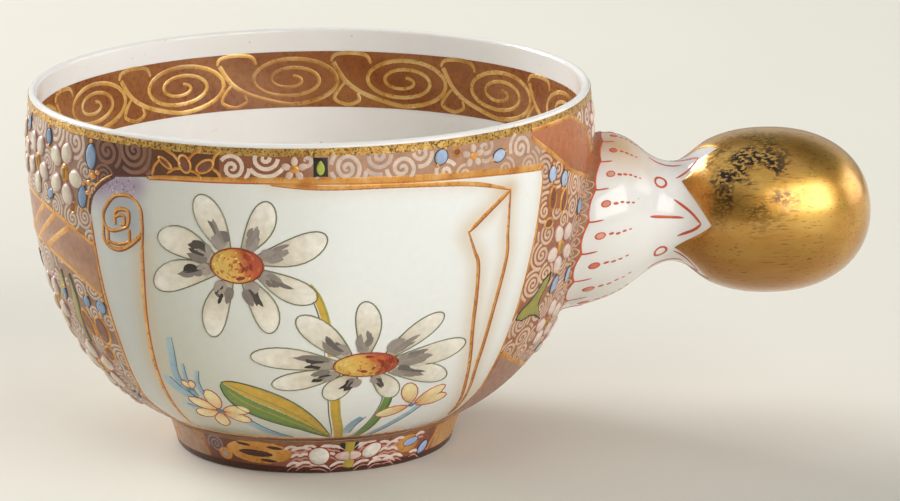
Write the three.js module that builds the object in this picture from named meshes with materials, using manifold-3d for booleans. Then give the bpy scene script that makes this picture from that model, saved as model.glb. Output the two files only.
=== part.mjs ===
// Espresso cup: a porcelain bowl on a foot ring, with a bell-shaped handle collar and a gilded
// egg-shaped knob. Enamel and gold are fired layers that lie on the porcelain.
// Millimetres, +Z up. The origin is on the table, under the middle of the whole cup.
import * as THREE from 'three';
import { mergeVertices } from 'three/addons/utils/BufferGeometryUtils.js';
import Module from 'manifold-3d';

// Bowl
const CUP_HEIGHT = 42.5; // table to the top of the lip
const RIM_DIAMETER = 65; // outside, where the lip starts to round over
const WALL = 2; // also the thickness of the rounded lip
const FLOOR = 1.8; // over the foot
const BELLY_LOW_OUT = 7.2; // how the wall leaves the foot
const BELLY_LOW_UP = 3.1;
const BELLY_HIGH_OUT = 2; // how the wall comes up to the rim
const BELLY_HIGH_DOWN = 25.8;

// Foot ring
const FOOT_HEIGHT = 4.3;
const FOOT_TOP_DIAMETER = 34.6; // where it meets the bowl
const FOOT_DIAMETER = 32.2; // on the table
const FOOT_RING_WIDTH = 3;
const FOOT_EDGE = 0.5; // rounding of its lower edges

// Handle, turned about a level axis
const HANDLE_HEIGHT = 26.2; // axis above the table
const COLLAR_DIAMETER = 20.3; // at the bowl
const COLLAR_REACH = 10.2; // bowl to neck
const COLLAR_SHOULDER = 6; // how far the bell's shoulder runs straight on
const COLLAR_NECK_PULL = 3.8; // how far its neck runs straight back
const COLLAR_SWELL = 0.25; // of the shoulder over the bell's edge
const NECK_DIAMETER = 11.7;
const KNOB_DIAMETER = 19.6;
const KNOB_LENGTH = 23.4; // of the whole egg
const KNOB_SINK = 1; // the egg starts this far behind the neck
const KNOB_FULLNESS = 2.2; // 2 is an ellipse, more is squarer
const KNOB_BLEND = 0.55; // share of the egg's half length where its neck fillet ends
const KNOB_FILLET_PULL = 1.8;
const SPIGOT_DIAMETER = 5; // on the knob, set in the collar
const SPIGOT_LENGTH = 4;
const JOINT_GAP = 0.3; // slip in the luted joints

// Fired layers, measured along the wall
const LAYER_GAP = 0.05; // between a layer and the porcelain
const ENAMEL = 0.15;
const GILDING = 0.1;
const RIM_LINE_HEIGHT = 0.8; // gold line under the lip
const INNER_BAND_BELOW_RIM = 2.4;
const INNER_BAND_HEIGHT = 7.2;
const GROUND_ABOVE_FOOT = 0.5; // brocade ground's lower edge over the foot
const FOOT_BAND_MARGIN = 0.7; // bare porcelain over and under the foot's band
const KNOB_LAYER_GAP = 0.1;
const KNOB_POINT_REACH = 0.5; // gold's zigzag edge, from the neck
const KNOB_NOTCH_REACH = 4;
const KNOB_POINTS = 5;
const KNOB_TURN = 12; // degrees, a notch below the front of the knob

// Reserved panel, shaped as an open scroll, on the front and again on the back
const PANEL_LEFT = 47; // degrees from the front
const PANEL_RIGHT = 49;
const PANEL_BELOW_RIM = 4.3; // panel's upper edge
const BORDER_WIDTH = 0.6; // gold line round the panel
const BORDER_INSET = 0.4;
const BORDER_ABOVE_FOOT = 1.2;
const RELIEF_GAP = 0.12; // between raised work and the porcelain
const RELIEF = 0.2;

// Two raised daisies on each panel, placed by their angle and by their height along the wall.
// A daisy's reach is from its middle to its petal tips, across and along the wall.
const UPPER_DAISY_BELOW_PANEL = 10;
const UPPER_DAISY_REACH = 10.2;
const UPPER_DAISY_RISE = 8.6;
const LOWER_DAISY_BELOW_PANEL = 23.2;
const LOWER_DAISY_REACH = 11.8;
const LOWER_DAISY_RISE = 8;
const DAISIES = [
  {
    name: 'upper',
    angle: -15,
    petals: 9,
    belowPanel: UPPER_DAISY_BELOW_PANEL,
    reach: UPPER_DAISY_REACH,
    rise: UPPER_DAISY_RISE,
  },
  {
    name: 'lower',
    angle: 12,
    petals: 11,
    belowPanel: LOWER_DAISY_BELOW_PANEL,
    reach: LOWER_DAISY_REACH,
    rise: LOWER_DAISY_RISE,
  },
];
const PETAL_WAIST = 0.45; // share of the petal's length where neighbours part

// Fineness of the facets
const TURNS = 56;
const WALL_STEPS = 10;
const LIP_STEPS = 5;
const EDGE_STEPS = 2;
const HANDLE_TURNS = 30; // a multiple of twice KNOB_POINTS
const COLLAR_STEPS = 9;
const FILLET_STEPS = 4;
const EGG_STEPS = 10;
const GILDING_EDGE_RINGS = 3;
const PETAL_STEPS = 4;
const PETAL_RINGS = 3;
const BORDER_STEPS = 12;

const wasm = await Module();
wasm.setup();

const rimRadius = RIM_DIAMETER / 2;
const footRadius = FOOT_DIAMETER / 2;
const footTopRadius = FOOT_TOP_DIAMETER / 2;
const point = (radius, height) => new THREE.Vector2(radius, height);
const radians = THREE.MathUtils.degToRad;

// Outside of the wall, from the foot up to the lip
const lipLean = BELLY_HIGH_OUT / Math.hypot(BELLY_HIGH_OUT, BELLY_HIGH_DOWN);
const wallTop = CUP_HEIGHT - (WALL / 2) * (1 - lipLean);
const wallCurve = new THREE.CubicBezierCurve(
  point(footTopRadius, FOOT_HEIGHT),
  point(footTopRadius + BELLY_LOW_OUT, FOOT_HEIGHT + BELLY_LOW_UP),
  point(rimRadius + BELLY_HIGH_OUT, wallTop - BELLY_HIGH_DOWN),
  point(rimRadius, wallTop),
);
const wallLength = wallCurve.getLength();

// Where on 0 to 1 a rising function reaches a value
function whereReached(rising, value) {
  let low = 0;
  let high = 1;
  for (let halving = 0; halving < 40; halving++) {
    const middle = (low + high) / 2;
    if (rising(middle) < value) {
      low = middle;
    } else {
      high = middle;
    }
  }
  return (low + high) / 2;
}

const wallAtHeight = (height) => whereReached((t) => wallCurve.getPoint(t).y, height);

// A point of the wall's profile, lifted off its outside
function wallPoint(t, lift) {
  const at = wallCurve.getPoint(t);
  const along = wallCurve.getTangent(t);
  return point(at.x + along.y * lift, at.y - along.x * lift);
}

// A point over the bowl, from its angle off the front and its way up the wall from the foot
function bowlPoint(angle, way, lift) {
  const profile = wallPoint(wallCurve.getUtoTmapping(way / wallLength), lift);
  const turn = radians(angle);
  return new THREE.Vector3(profile.x * Math.sin(turn), -profile.x * Math.cos(turn), profile.y);
}

const bowlRadius = (way) => wallCurve.getPointAt(way / wallLength).x;

// Profile stations of the wall, with the edges of the layers among them
const rimLineTop = 1;
const rimLineLow = wallAtHeight(wallTop - RIM_LINE_HEIGHT);
const innerBandTop = wallAtHeight(CUP_HEIGHT - INNER_BAND_BELOW_RIM);
const innerBandLow = wallAtHeight(CUP_HEIGHT - INNER_BAND_BELOW_RIM - INNER_BAND_HEIGHT);
const groundLow = wallAtHeight(FOOT_HEIGHT + GROUND_ABOVE_FOOT);
const layerEdges = [0, groundLow, innerBandLow, innerBandTop, rimLineLow, rimLineTop];
const evenStations = Array.from({ length: WALL_STEPS }, (_, step) => step / WALL_STEPS);
const clearOfEdges = (t) => layerEdges.every((edge) => Math.abs(edge - t) > 0.3 / WALL_STEPS);
const stations = [...layerEdges, ...evenStations.filter(clearOfEdges)].sort((a, b) => a - b);

// Turned about the bowl's upright axis
function turned(profile) {
  return new THREE.LatheGeometry(profile, TURNS).rotateX(Math.PI / 2);
}

// Turned about the handle's axis, which points along +X
function turnedLevel(profile) {
  return new THREE.LatheGeometry(profile, HANDLE_TURNS).rotateZ(-Math.PI / 2);
}

// A ring of even thickness that follows the wall between two stations
function wallLayer(from, to, inside, outside) {
  const span = stations.filter((t) => t >= from && t <= to);
  const up = span.map((t) => wallPoint(t, outside));
  const down = span.map((t) => wallPoint(t, inside)).reverse();
  return turned([...up, ...down, up[0].clone()]);
}

// A closed mesh as a solid that can be cut, and back
function solidOf(geometry) {
  const bare = geometry.clone();
  bare.deleteAttribute('normal');
  bare.deleteAttribute('uv');
  const merged = mergeVertices(bare, 1e-4);
  const index = merged.getIndex().array;
  const corners = [];
  for (let i = 0; i < index.length; i += 3) {
    const [a, b, c] = [index[i], index[i + 1], index[i + 2]];
    if (a !== b && b !== c && c !== a) {
      corners.push(a, b, c);
    }
  }
  const vertProperties = new Float32Array(merged.getAttribute('position').array);
  const triVerts = new Uint32Array(corners);
  return new wasm.Manifold(new wasm.Mesh({ numProp: 3, vertProperties, triVerts }));
}

function geometryOf(solid) {
  const mesh = solid.getMesh();
  const geometry = new THREE.BufferGeometry();
  geometry.setAttribute('position', new THREE.BufferAttribute(mesh.vertProperties, 3));
  geometry.setIndex(new THREE.BufferAttribute(mesh.triVerts, 1));
  return geometry;
}

function meshOf(points, triangles) {
  const geometry = new THREE.BufferGeometry();
  geometry.setFromPoints(points);
  geometry.setIndex(triangles);
  return geometry;
}

// A sheet with thickness, as rings of spokes round a middle point.
// place(ring, spoke, upper) gives each point; ring 0 is the middle.
function roundSheet(rings, spokes, place) {
  const sides = [false, true];
  const points = [];
  const triangles = [];
  const sideSize = 1 + rings * spokes;
  for (const upper of sides) {
    points.push(place(0, 0, upper));
    for (let ring = 1; ring <= rings; ring++) {
      for (let spoke = 0; spoke < spokes; spoke++) {
        points.push(place(ring, spoke, upper));
      }
    }
  }
  const at = (ring, spoke, upper) => {
    const within = ring === 0 ? 0 : 1 + (ring - 1) * spokes + (spoke % spokes);
    return within + (upper ? sideSize : 0);
  };
  for (let spoke = 0; spoke < spokes; spoke++) {
    const next = spoke + 1;
    triangles.push(at(0, 0, true), at(1, spoke, true), at(1, next, true));
    triangles.push(at(0, 0, false), at(1, next, false), at(1, spoke, false));
    for (let ring = 1; ring < rings; ring++) {
      const out = ring + 1;
      triangles.push(at(ring, spoke, true), at(out, spoke, true), at(out, next, true));
      triangles.push(at(ring, spoke, true), at(out, next, true), at(ring, next, true));
      triangles.push(at(ring, spoke, false), at(out, next, false), at(out, spoke, false));
      triangles.push(at(ring, spoke, false), at(ring, next, false), at(out, next, false));
    }
    triangles.push(at(rings, spoke, true), at(rings, spoke, false), at(rings, next, false));
    triangles.push(at(rings, spoke, true), at(rings, next, false), at(rings, next, true));
  }
  return meshOf(points, triangles);
}

// A ribbon with thickness over the bowl, between two rows of places { angle, way }
function bowlRibbon(leftRow, rightRow, low, high) {
  const points = [];
  const triangles = [];
  leftRow.forEach((left, step) => {
    const right = rightRow[step];
    points.push(bowlPoint(left.angle, left.way, low));
    points.push(bowlPoint(right.angle, right.way, low));
    points.push(bowlPoint(right.angle, right.way, high));
    points.push(bowlPoint(left.angle, left.way, high));
  });
  const last = 4 * (leftRow.length - 1);
  for (let base = 0; base < last; base += 4) {
    for (let side = 0; side < 4; side++) {
      const a = base + side;
      const b = base + ((side + 1) % 4);
      triangles.push(a, a + 4, b + 4, a, b + 4, b);
    }
  }
  triangles.push(0, 1, 2, 0, 2, 3);
  triangles.push(last, last + 2, last + 1, last, last + 3, last + 2);
  return meshOf(points, triangles);
}

function glazed(color, roughness) {
  return new THREE.MeshStandardMaterial({ color, roughness, metalness: 0 });
}

const gold = () => new THREE.MeshStandardMaterial({ color: 0xc8963a, roughness: 0.3, metalness: 1 });
const porcelain = () => glazed(0xece8de, 0.15);

function piece(name, geometry, material) {
  const mesh = new THREE.Mesh(geometry, material);
  mesh.name = name;
  return mesh;
}

// Bowl: flat under the floor, where the foot ring is luted on
function bowlGeometry() {
  const lipCentre = wallPoint(1, -WALL / 2);
  const rimTangent = wallCurve.getTangent(1);
  const lipStart = Math.atan2(-rimTangent.x, rimTangent.y);
  const outside = stations.map((t) => wallPoint(t, 0));
  const lip = [];
  for (let step = 1; step < LIP_STEPS; step++) {
    const turn = lipStart + (Math.PI * step) / LIP_STEPS;
    const reach = WALL / 2;
    lip.push(point(lipCentre.x + reach * Math.cos(turn), lipCentre.y + reach * Math.sin(turn)));
  }
  const inside = stations.map((t) => wallPoint(t, -WALL)).reverse();
  return turned([point(0, FOOT_HEIGHT), ...outside, ...lip, ...inside, point(0, FOOT_HEIGHT + FLOOR)]);
}

// Quarter round at the foot of a ring, between two angles in quarter turns
function edgeArc(centreRadius, fromQuarter) {
  const arc = [];
  for (let step = 0; step <= EDGE_STEPS; step++) {
    const turn = (Math.PI / 2) * (fromQuarter + step / EDGE_STEPS);
    arc.push(point(centreRadius + FOOT_EDGE * Math.cos(turn), FOOT_EDGE + FOOT_EDGE * Math.sin(turn)));
  }
  return arc;
}

function footRingGeometry() {
  const innerRadius = footRadius - FOOT_RING_WIDTH;
  const outerEdge = edgeArc(footRadius - FOOT_EDGE, -1);
  const innerEdge = edgeArc(innerRadius + FOOT_EDGE, 2);
  const top = [point(footTopRadius, FOOT_HEIGHT), point(innerRadius, FOOT_HEIGHT)];
  return turned([...outerEdge, ...top, ...innerEdge, outerEdge[0].clone()]);
}

// Enamel on the foot ring's sloping outside
function footBandGeometry() {
  const slope = point(footTopRadius - footRadius, FOOT_HEIGHT - FOOT_EDGE);
  const outward = point(slope.y, -slope.x).normalize();
  const footPoint = (height, lift) => {
    const share = (height - FOOT_EDGE) / slope.y;
    const radius = footRadius + slope.x * share;
    return point(radius + outward.x * lift, height + outward.y * lift);
  };
  const low = FOOT_EDGE + FOOT_BAND_MARGIN;
  const high = FOOT_HEIGHT - FOOT_BAND_MARGIN;
  const inside = LAYER_GAP;
  const outside = LAYER_GAP + ENAMEL;
  const up = [footPoint(low, outside), footPoint(high, outside)];
  const down = [footPoint(high, inside), footPoint(low, inside)];
  return turned([...up, ...down, up[0].clone()]);
}

// Brocade ground: all round the outside, cut away for the panels and the handle
function groundGeometry() {
  let ground = solidOf(wallLayer(groundLow, rimLineLow, LAYER_GAP, LAYER_GAP + ENAMEL));
  const panelTop = CUP_HEIGHT - PANEL_BELOW_RIM;
  const beyond = 3 * rimRadius;
  const sector = new THREE.Shape();
  sector.moveTo(0, 0);
  sector.lineTo(-beyond * Math.sin(radians(PANEL_LEFT)), -beyond * Math.cos(radians(PANEL_LEFT)));
  sector.lineTo(beyond * Math.sin(radians(PANEL_RIGHT)), -beyond * Math.cos(radians(PANEL_RIGHT)));
  sector.closePath();
  for (const turn of [0, Math.PI]) {
    const cut = new THREE.ExtrudeGeometry(sector, { depth: panelTop, bevelEnabled: false });
    ground = ground.subtract(solidOf(cut.rotateZ(turn)));
  }
  const seatRadius = COLLAR_DIAMETER / 2 + COLLAR_SWELL + JOINT_GAP;
  const seat = turnedLevel([point(0, 0), point(seatRadius, 0), point(seatRadius, beyond), point(0, beyond)]);
  ground = ground.subtract(solidOf(seat.translate(0, 0, HANDLE_HEIGHT)));
  return geometryOf(ground);
}

// Collar: a bell whose foot is cut to the bowl's wall, with a socket for the knob's spigot
const wallReach = wallCurve.getPoint(wallAtHeight(HANDLE_HEIGHT)).x;
const neckReach = wallReach + COLLAR_REACH;
const collarRadius = COLLAR_DIAMETER / 2;
const neckRadius = NECK_DIAMETER / 2;
const spigotRadius = SPIGOT_DIAMETER / 2;

function collarGeometry() {
  const bell = new THREE.CubicBezierCurve(
    point(collarRadius, wallReach),
    point(collarRadius + COLLAR_SWELL, wallReach + COLLAR_SHOULDER),
    point(neckRadius, neckReach - COLLAR_NECK_PULL),
    point(neckRadius, neckReach),
  );
  const start = wallReach - collarRadius;
  const socketRadius = spigotRadius + JOINT_GAP;
  const socketEnd = neckReach - SPIGOT_LENGTH - JOINT_GAP;
  const body = turnedLevel([
    point(0, start),
    point(collarRadius, start),
    ...bell.getPoints(COLLAR_STEPS),
    point(socketRadius, neckReach),
    point(socketRadius, socketEnd),
    point(0, socketEnd),
  ]);
  const seatProfile = stations.map((t) => wallPoint(t, JOINT_GAP));
  const seatTop = point(0, seatProfile.at(-1).y);
  const seat = turned([point(0, seatProfile[0].y), ...seatProfile, seatTop]);
  seat.translate(0, 0, -HANDLE_HEIGHT);
  return geometryOf(solidOf(body).subtract(solidOf(seat)));
}

// Outline of the knob, from the neck (0) to its tip (1): a fillet, then the egg
const eggHalf = KNOB_LENGTH / 2;
const eggRadius = KNOB_DIAMETER / 2;
const eggCentre = neckReach + eggHalf - KNOB_SINK;
const eggStartTurn = Math.acos(KNOB_BLEND ** (KNOB_FULLNESS / 2));
const filletShare = FILLET_STEPS / (FILLET_STEPS + EGG_STEPS);

function eggPoint(turn) {
  const cosine = Math.cos(turn);
  const along = Math.sign(cosine) * Math.abs(cosine) ** (2 / KNOB_FULLNESS);
  const across = Math.abs(Math.sin(turn)) ** (2 / KNOB_FULLNESS);
  return point(eggRadius * across, eggCentre - eggHalf * along);
}

const eggStart = eggPoint(eggStartTurn);
const eggStartWay = eggPoint(eggStartTurn + 0.01).sub(eggStart).normalize();
const fillet = new THREE.CubicBezierCurve(
  point(neckRadius, neckReach + JOINT_GAP),
  point(neckRadius, neckReach + JOINT_GAP + KNOB_FILLET_PULL),
  eggStart.clone().addScaledVector(eggStartWay, -KNOB_FILLET_PULL),
  eggStart,
);

function knobOutline(share) {
  if (share <= filletShare) {
    return fillet.getPoint(share / filletShare);
  }
  const rest = (share - filletShare) / (1 - filletShare);
  const outline = eggPoint(THREE.MathUtils.lerp(eggStartTurn, Math.PI, rest));
  return share >= 1 ? point(0, outline.y) : outline;
}

function knobPoint(share, lift) {
  const step = 0.002;
  const at = knobOutline(share);
  if (share >= 1) {
    return point(0, at.y + lift);
  }
  const along = knobOutline(Math.min(share + step, 1)).sub(knobOutline(Math.max(share - step, 0)));
  along.normalize();
  return point(at.x + along.y * lift, at.y - along.x * lift);
}

function knobGeometry() {
  const steps = FILLET_STEPS + EGG_STEPS;
  const outline = Array.from({ length: steps + 1 }, (_, step) => knobOutline(step / steps));
  const face = neckReach + JOINT_GAP;
  const spigotEnd = neckReach - SPIGOT_LENGTH;
  return turnedLevel([
    point(0, spigotEnd),
    point(spigotRadius, spigotEnd),
    point(spigotRadius, face),
    ...outline,
  ]);
}

// Gold over the knob, with a zigzag edge on the fillet
function knobGildingGeometry() {
  const shareAt = (reach) => whereReached((share) => knobOutline(share).y, neckReach + reach);
  const pointShare = shareAt(KNOB_POINT_REACH);
  const notchShare = shareAt(KNOB_NOTCH_REACH);
  const rings = EGG_STEPS + GILDING_EDGE_RINGS;
  const place = (ring, spoke, upper) => {
    const turn = (2 * Math.PI * spoke) / HANDLE_TURNS;
    const wave = (spoke * KNOB_POINTS) / HANDLE_TURNS;
    const offNotch = Math.abs(wave - Math.round(wave)) * 2;
    const edge = THREE.MathUtils.lerp(notchShare, pointShare, offNotch);
    const onEgg = Math.min(ring / EGG_STEPS, 1);
    const pastEgg = Math.max((ring - EGG_STEPS) / GILDING_EDGE_RINGS, 0);
    const share = THREE.MathUtils.lerp(1, filletShare, onEgg) + (edge - filletShare) * pastEgg;
    const at = knobPoint(share, KNOB_LAYER_GAP + (upper ? GILDING : 0));
    return new THREE.Vector3(at.y, -at.x * Math.cos(turn), -at.x * Math.sin(turn));
  };
  return roundSheet(rings, HANDLE_TURNS, place);
}

// Way up the wall of a height, and of the panel's upper edge
const wayAtHeight = (height) => whereReached((u) => wallCurve.getPointAt(u).y, height) * wallLength;
const panelTopWay = wayAtHeight(CUP_HEIGHT - PANEL_BELOW_RIM);

function daisyGeometry(daisy) {
  const spokes = daisy.petals * PETAL_STEPS;
  const middleWay = panelTopWay - daisy.belowPanel;
  const middleRadius = bowlRadius(middleWay);
  const place = (ring, spoke, upper) => {
    const turn = (2 * Math.PI * spoke) / spokes;
    const petal = Math.sqrt(Math.abs(Math.cos((turn * daisy.petals) / 2)));
    const share = ((PETAL_WAIST + (1 - PETAL_WAIST) * petal) * ring) / PETAL_RINGS;
    const across = (share * daisy.reach * Math.cos(turn)) / middleRadius;
    const angle = daisy.angle + THREE.MathUtils.radToDeg(across);
    const way = middleWay + share * daisy.rise * Math.sin(turn);
    return bowlPoint(angle, way, RELIEF_GAP + (upper ? RELIEF : 0));
  };
  return roundSheet(PETAL_RINGS, spokes, place);
}

// Gold line up one edge of a panel, along its top and down the other edge
function borderGeometry() {
  const lowWay = wayAtHeight(FOOT_HEIGHT + BORDER_ABOVE_FOOT);
  const rowAt = (inset) => {
    const topWay = panelTopWay - inset;
    const angleIn = (way) => THREE.MathUtils.radToDeg(inset / bowlRadius(way));
    const steps = Array.from({ length: BORDER_STEPS + 1 }, (_, step) => step / BORDER_STEPS);
    const ways = steps.map((share) => THREE.MathUtils.lerp(lowWay, topWay, share));
    const left = ways.map((way) => ({ angle: angleIn(way) - PANEL_LEFT, way }));
    const right = ways.map((way) => ({ angle: PANEL_RIGHT - angleIn(way), way })).reverse();
    const along = (share) => THREE.MathUtils.lerp(left.at(-1).angle, right[0].angle, share);
    const top = steps.slice(1, -1).map((share) => ({ angle: along(share), way: topWay }));
    return [...left, ...top, ...right];
  };
  const outer = rowAt(BORDER_INSET);
  const inner = rowAt(BORDER_INSET + BORDER_WIDTH);
  return bowlRibbon(outer, inner, RELIEF_GAP, RELIEF_GAP + GILDING);
}

// The whole cup about the bowl's axis
const turnedPieces = new THREE.Group();
turnedPieces.add(
  piece('bowl', bowlGeometry(), porcelain()),
  piece('foot_ring', footRingGeometry(), porcelain()),
  piece('rim_gilding', wallLayer(rimLineLow, rimLineTop, LAYER_GAP, LAYER_GAP + GILDING), gold()),
  piece(
    'inner_band',
    wallLayer(innerBandLow, innerBandTop, -WALL - LAYER_GAP - ENAMEL, -WALL - LAYER_GAP),
    glazed(0x8a4f33, 0.3),
  ),
  piece('brocade_ground', groundGeometry(), glazed(0xb58f7d, 0.35)),
  piece('foot_band', footBandGeometry(), glazed(0x7d4a3a, 0.35)),
);

for (const [side, turn] of [['front', 0], ['back', Math.PI]]) {
  const panel = new THREE.Group();
  panel.rotation.z = turn;
  panel.add(piece(`panel_border_${side}`, borderGeometry(), gold()));
  for (const daisy of DAISIES) {
    panel.add(piece(`daisy_${side}_${daisy.name}`, daisyGeometry(daisy), glazed(0xe6dfc9, 0.4)));
  }
  turnedPieces.add(panel);
}

const handle = new THREE.Group();
handle.position.z = HANDLE_HEIGHT;
const knob = new THREE.Group();
knob.rotation.x = radians(KNOB_TURN);
knob.add(
  piece('handle_knob', knobGeometry(), porcelain()),
  piece('knob_gilding', knobGildingGeometry(), gold()),
);
handle.add(piece('handle_collar', collarGeometry(), porcelain()), knob);
turnedPieces.add(handle);

// The bowl's axis stands off the origin, so that the whole cup is centred over it
const bowlReach = Math.max(...stations.map((t) => wallPoint(t, LAYER_GAP + ENAMEL).x));
const knobReach = eggCentre + eggHalf + KNOB_LAYER_GAP + GILDING;
turnedPieces.position.x = (bowlReach - knobReach) / 2;

const cup = new THREE.Group();
cup.add(turnedPieces);
export default cup;
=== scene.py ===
"""Espresso cup: glazed porcelain with fired gold, enamel brocade and two scroll-shaped white panels.

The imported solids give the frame. Each visible surface is built again here as a smooth form in the same
place, and the painted work lies on it as thin raised paint.
"""
import math
import random
from bisect import bisect

import bpy
import numpy as np
from mathutils import Matrix, Vector


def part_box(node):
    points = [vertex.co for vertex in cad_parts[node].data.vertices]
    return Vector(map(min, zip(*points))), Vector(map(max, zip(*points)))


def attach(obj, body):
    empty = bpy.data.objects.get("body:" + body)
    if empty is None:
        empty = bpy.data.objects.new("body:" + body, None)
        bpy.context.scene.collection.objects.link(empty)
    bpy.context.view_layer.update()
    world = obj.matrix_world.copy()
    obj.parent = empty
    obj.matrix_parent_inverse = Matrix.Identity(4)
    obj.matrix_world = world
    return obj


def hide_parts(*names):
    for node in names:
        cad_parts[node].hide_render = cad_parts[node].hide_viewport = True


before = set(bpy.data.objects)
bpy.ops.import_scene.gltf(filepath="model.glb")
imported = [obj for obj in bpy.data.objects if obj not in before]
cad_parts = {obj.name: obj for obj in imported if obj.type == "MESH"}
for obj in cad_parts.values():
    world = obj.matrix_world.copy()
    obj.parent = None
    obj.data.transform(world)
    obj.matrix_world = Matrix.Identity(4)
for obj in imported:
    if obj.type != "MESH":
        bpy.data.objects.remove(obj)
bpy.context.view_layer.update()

MM = 0.001  # sizes below are in millimetres and degrees
BODY = "root"
LEFT = -90  # middle of the side away from the handle, in degrees from the front
RIGHT = 90  # middle of the side with the handle
PANEL_TURNS = {"front": 0, "back": 180}
rng = random.Random(7)

# Bowl and foot, as in the solids
CUP_HEIGHT = 42.5
RIM_RADIUS = 32.5
WALL = 2.0
LIP = 0.9  # thickness of the wall at the lip
LIP_TAPER = 9.5  # length of wall over which it thins towards the lip
FLOOR = 1.8
FLOOR_CORNER = 0.4  # height over the floor where the inside's wall gives way to a sweep
FLOOR_SWEEP = 2.0
BELLY_LOW = Vector((7.2, 3.1))
BELLY_HIGH = Vector((2.0, -25.8))
FOOT_HEIGHT = 4.3
FOOT_TOP_RADIUS = 17.3
FOOT_RADIUS = 16.1
FOOT_RING_WIDTH = 3.0
FOOT_EDGE = 0.5

# Handle, about a level axis
HANDLE_HEIGHT = 26.6
COLLAR_SAG = 1.05  # how far the bell's foot hangs under the knob's axis
COLLAR_RADIUS = 10.15
COLLAR_REACH = 10.2
COLLAR_SHOULDER = Vector((0.25, 6.0))
COLLAR_NECK_PULL = 3.8
NECK_RADIUS = 5.85
KNOB_RADIUS = 9.55
KNOB_HALF = 12.0
KNOB_SINK = 1.0
KNOB_FULLNESS = 2.2
KNOB_BLEND = 0.55
KNOB_PULL = 1.8
GLAZE_FILLET = 0.5  # glaze gathered where the collar meets the bowl

# Layers of paint
SINK = 0.01  # every layer starts this far under what it lies on
GROUND = 0.05
FIELD = 0.08
WASH = 0.02
GILDING = 0.12
RIM_GOLD_RISE = 0.06
STRIP_GROUND = 0.055
RIM_LINE_LOW = 42.6  # ways up the wall
RIM_LINE_HIGH = 43.5
STRIP_LOW = 39.5
GROUND_LOW = 1.3
PANEL_LOW = 1.4
INNER_BAND_LOW = 34.3
INNER_BAND_HIGH = 41.2
FOOT_BAND_LOW = 0.1
FOOT_BAND_HIGH = 4.0

# Colours that more than one part uses
CREAM = "#e9e0cd"  # of paint whose material has a colour of its own
BLACK = "#241c16"

# Steps round and along the turned forms
BOWL_TURNS = 192
WALL_ROWS = 72
LIP_STEPS = 12
HANDLE_TURNS = 96
HANDLE_RINGS = 150
BAND_TURNS = 240


def unit(value):
    """A value held between 0 and 1."""
    return min(max(value, 0.0), 1.0)


def fade(distance, reach, power=2):
    """1 at no distance, falling off over a reach."""
    return math.exp(-((distance / reach) ** power))


def follow(spots, place):
    """Height at a place along a line of points (place, height)."""
    return float(np.interp(place, *zip(*spots)))


def bezier(start, pull, push, end, steps):
    """Points of a cubic curve."""
    curve = []
    for step in range(steps + 1):
        t = step / steps
        back = 1 - t
        curve.append(start * back**3 + pull * (3 * t * back**2) + push * (3 * t**2 * back) + end * t**3)
    return curve


class Profile:
    """An outline of a turned form, measured along its length."""

    def __init__(self, points):
        self.points = points
        self.ways = [0.0]
        for start, end in zip(points, points[1:]):
            self.ways.append(self.ways[-1] + (end - start).length)
        self.length = self.ways[-1]

    def at(self, way):
        """The point at a way along the outline, and the direction out of the form."""
        place = min(max(bisect(self.ways, way) - 1, 0), len(self.points) - 2)
        start = self.points[place]
        end = self.points[place + 1]
        along = (end - start).normalized()
        spot = start + along * (way - self.ways[place])
        return spot, Vector((along.y, -along.x))


# Outside of the bowl, from the foot up to the lip
bowl_low, bowl_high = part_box("bowl")
AXIS_X = (bowl_low.x + bowl_high.x) / 2 / MM
lip_lean = BELLY_HIGH.x / BELLY_HIGH.length
wall_foot = Vector((FOOT_TOP_RADIUS, FOOT_HEIGHT))
wall_top = Vector((RIM_RADIUS, CUP_HEIGHT - LIP / 2 * (1 - lip_lean)))
WALL_LINE = Profile(bezier(wall_foot, wall_foot + BELLY_LOW, wall_top + BELLY_HIGH, wall_top, 160))


def bowl_radius(way):
    return WALL_LINE.at(way)[0].x


def thickness(way):
    """The wall's thickness, which falls towards the lip."""
    return WALL + (LIP - WALL) * unit(1 - (WALL_LINE.length - way) / LIP_TAPER)


def radius_at_height(height):
    return follow([(spot.y, spot.x) for spot in WALL_LINE.points], height)


def upright(radius, height, turn):
    """A point about the bowl's axis; the turn goes from the front to the right."""
    return Vector((AXIS_X + radius * math.sin(turn), -radius * math.cos(turn), height))


def level(radius, reach, turn, height):
    """A point about the handle's axis at a height; the turn goes from the front downwards."""
    return Vector((AXIS_X + reach, -radius * math.cos(turn), height - radius * math.sin(turn)))


def bowl_point(angle, way, lift):
    spot, out = WALL_LINE.at(way)
    spot = spot + out * lift
    return upright(spot.x, spot.y, math.radians(angle))


def inner_point(angle, way, lift):
    """A point inside the bowl; the angle goes from the back to the right, as seen from the front."""
    return bowl_point(180 - angle, way, -thickness(way) - lift)


def foot_point(angle, height, lift):
    """A point of the foot's outside, which is rounded at its lower edge."""
    share = max(height - FOOT_EDGE, 0) / (FOOT_HEIGHT - FOOT_EDGE)
    radius = FOOT_RADIUS + (FOOT_TOP_RADIUS - FOOT_RADIUS) * share
    if height < FOOT_EDGE:
        radius += math.sqrt(FOOT_EDGE**2 - (FOOT_EDGE - max(height, 0)) ** 2) - FOOT_EDGE
    return upright(radius + lift, height, math.radians(angle))


# Outline of the handle: the collar's bell, a fillet and the egg-shaped knob
COLLAR_HEIGHT = HANDLE_HEIGHT - COLLAR_SAG
WALL_REACH = radius_at_height(COLLAR_HEIGHT)
NECK_REACH = WALL_REACH + COLLAR_REACH
EGG_CENTRE = NECK_REACH + KNOB_HALF - KNOB_SINK


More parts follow.
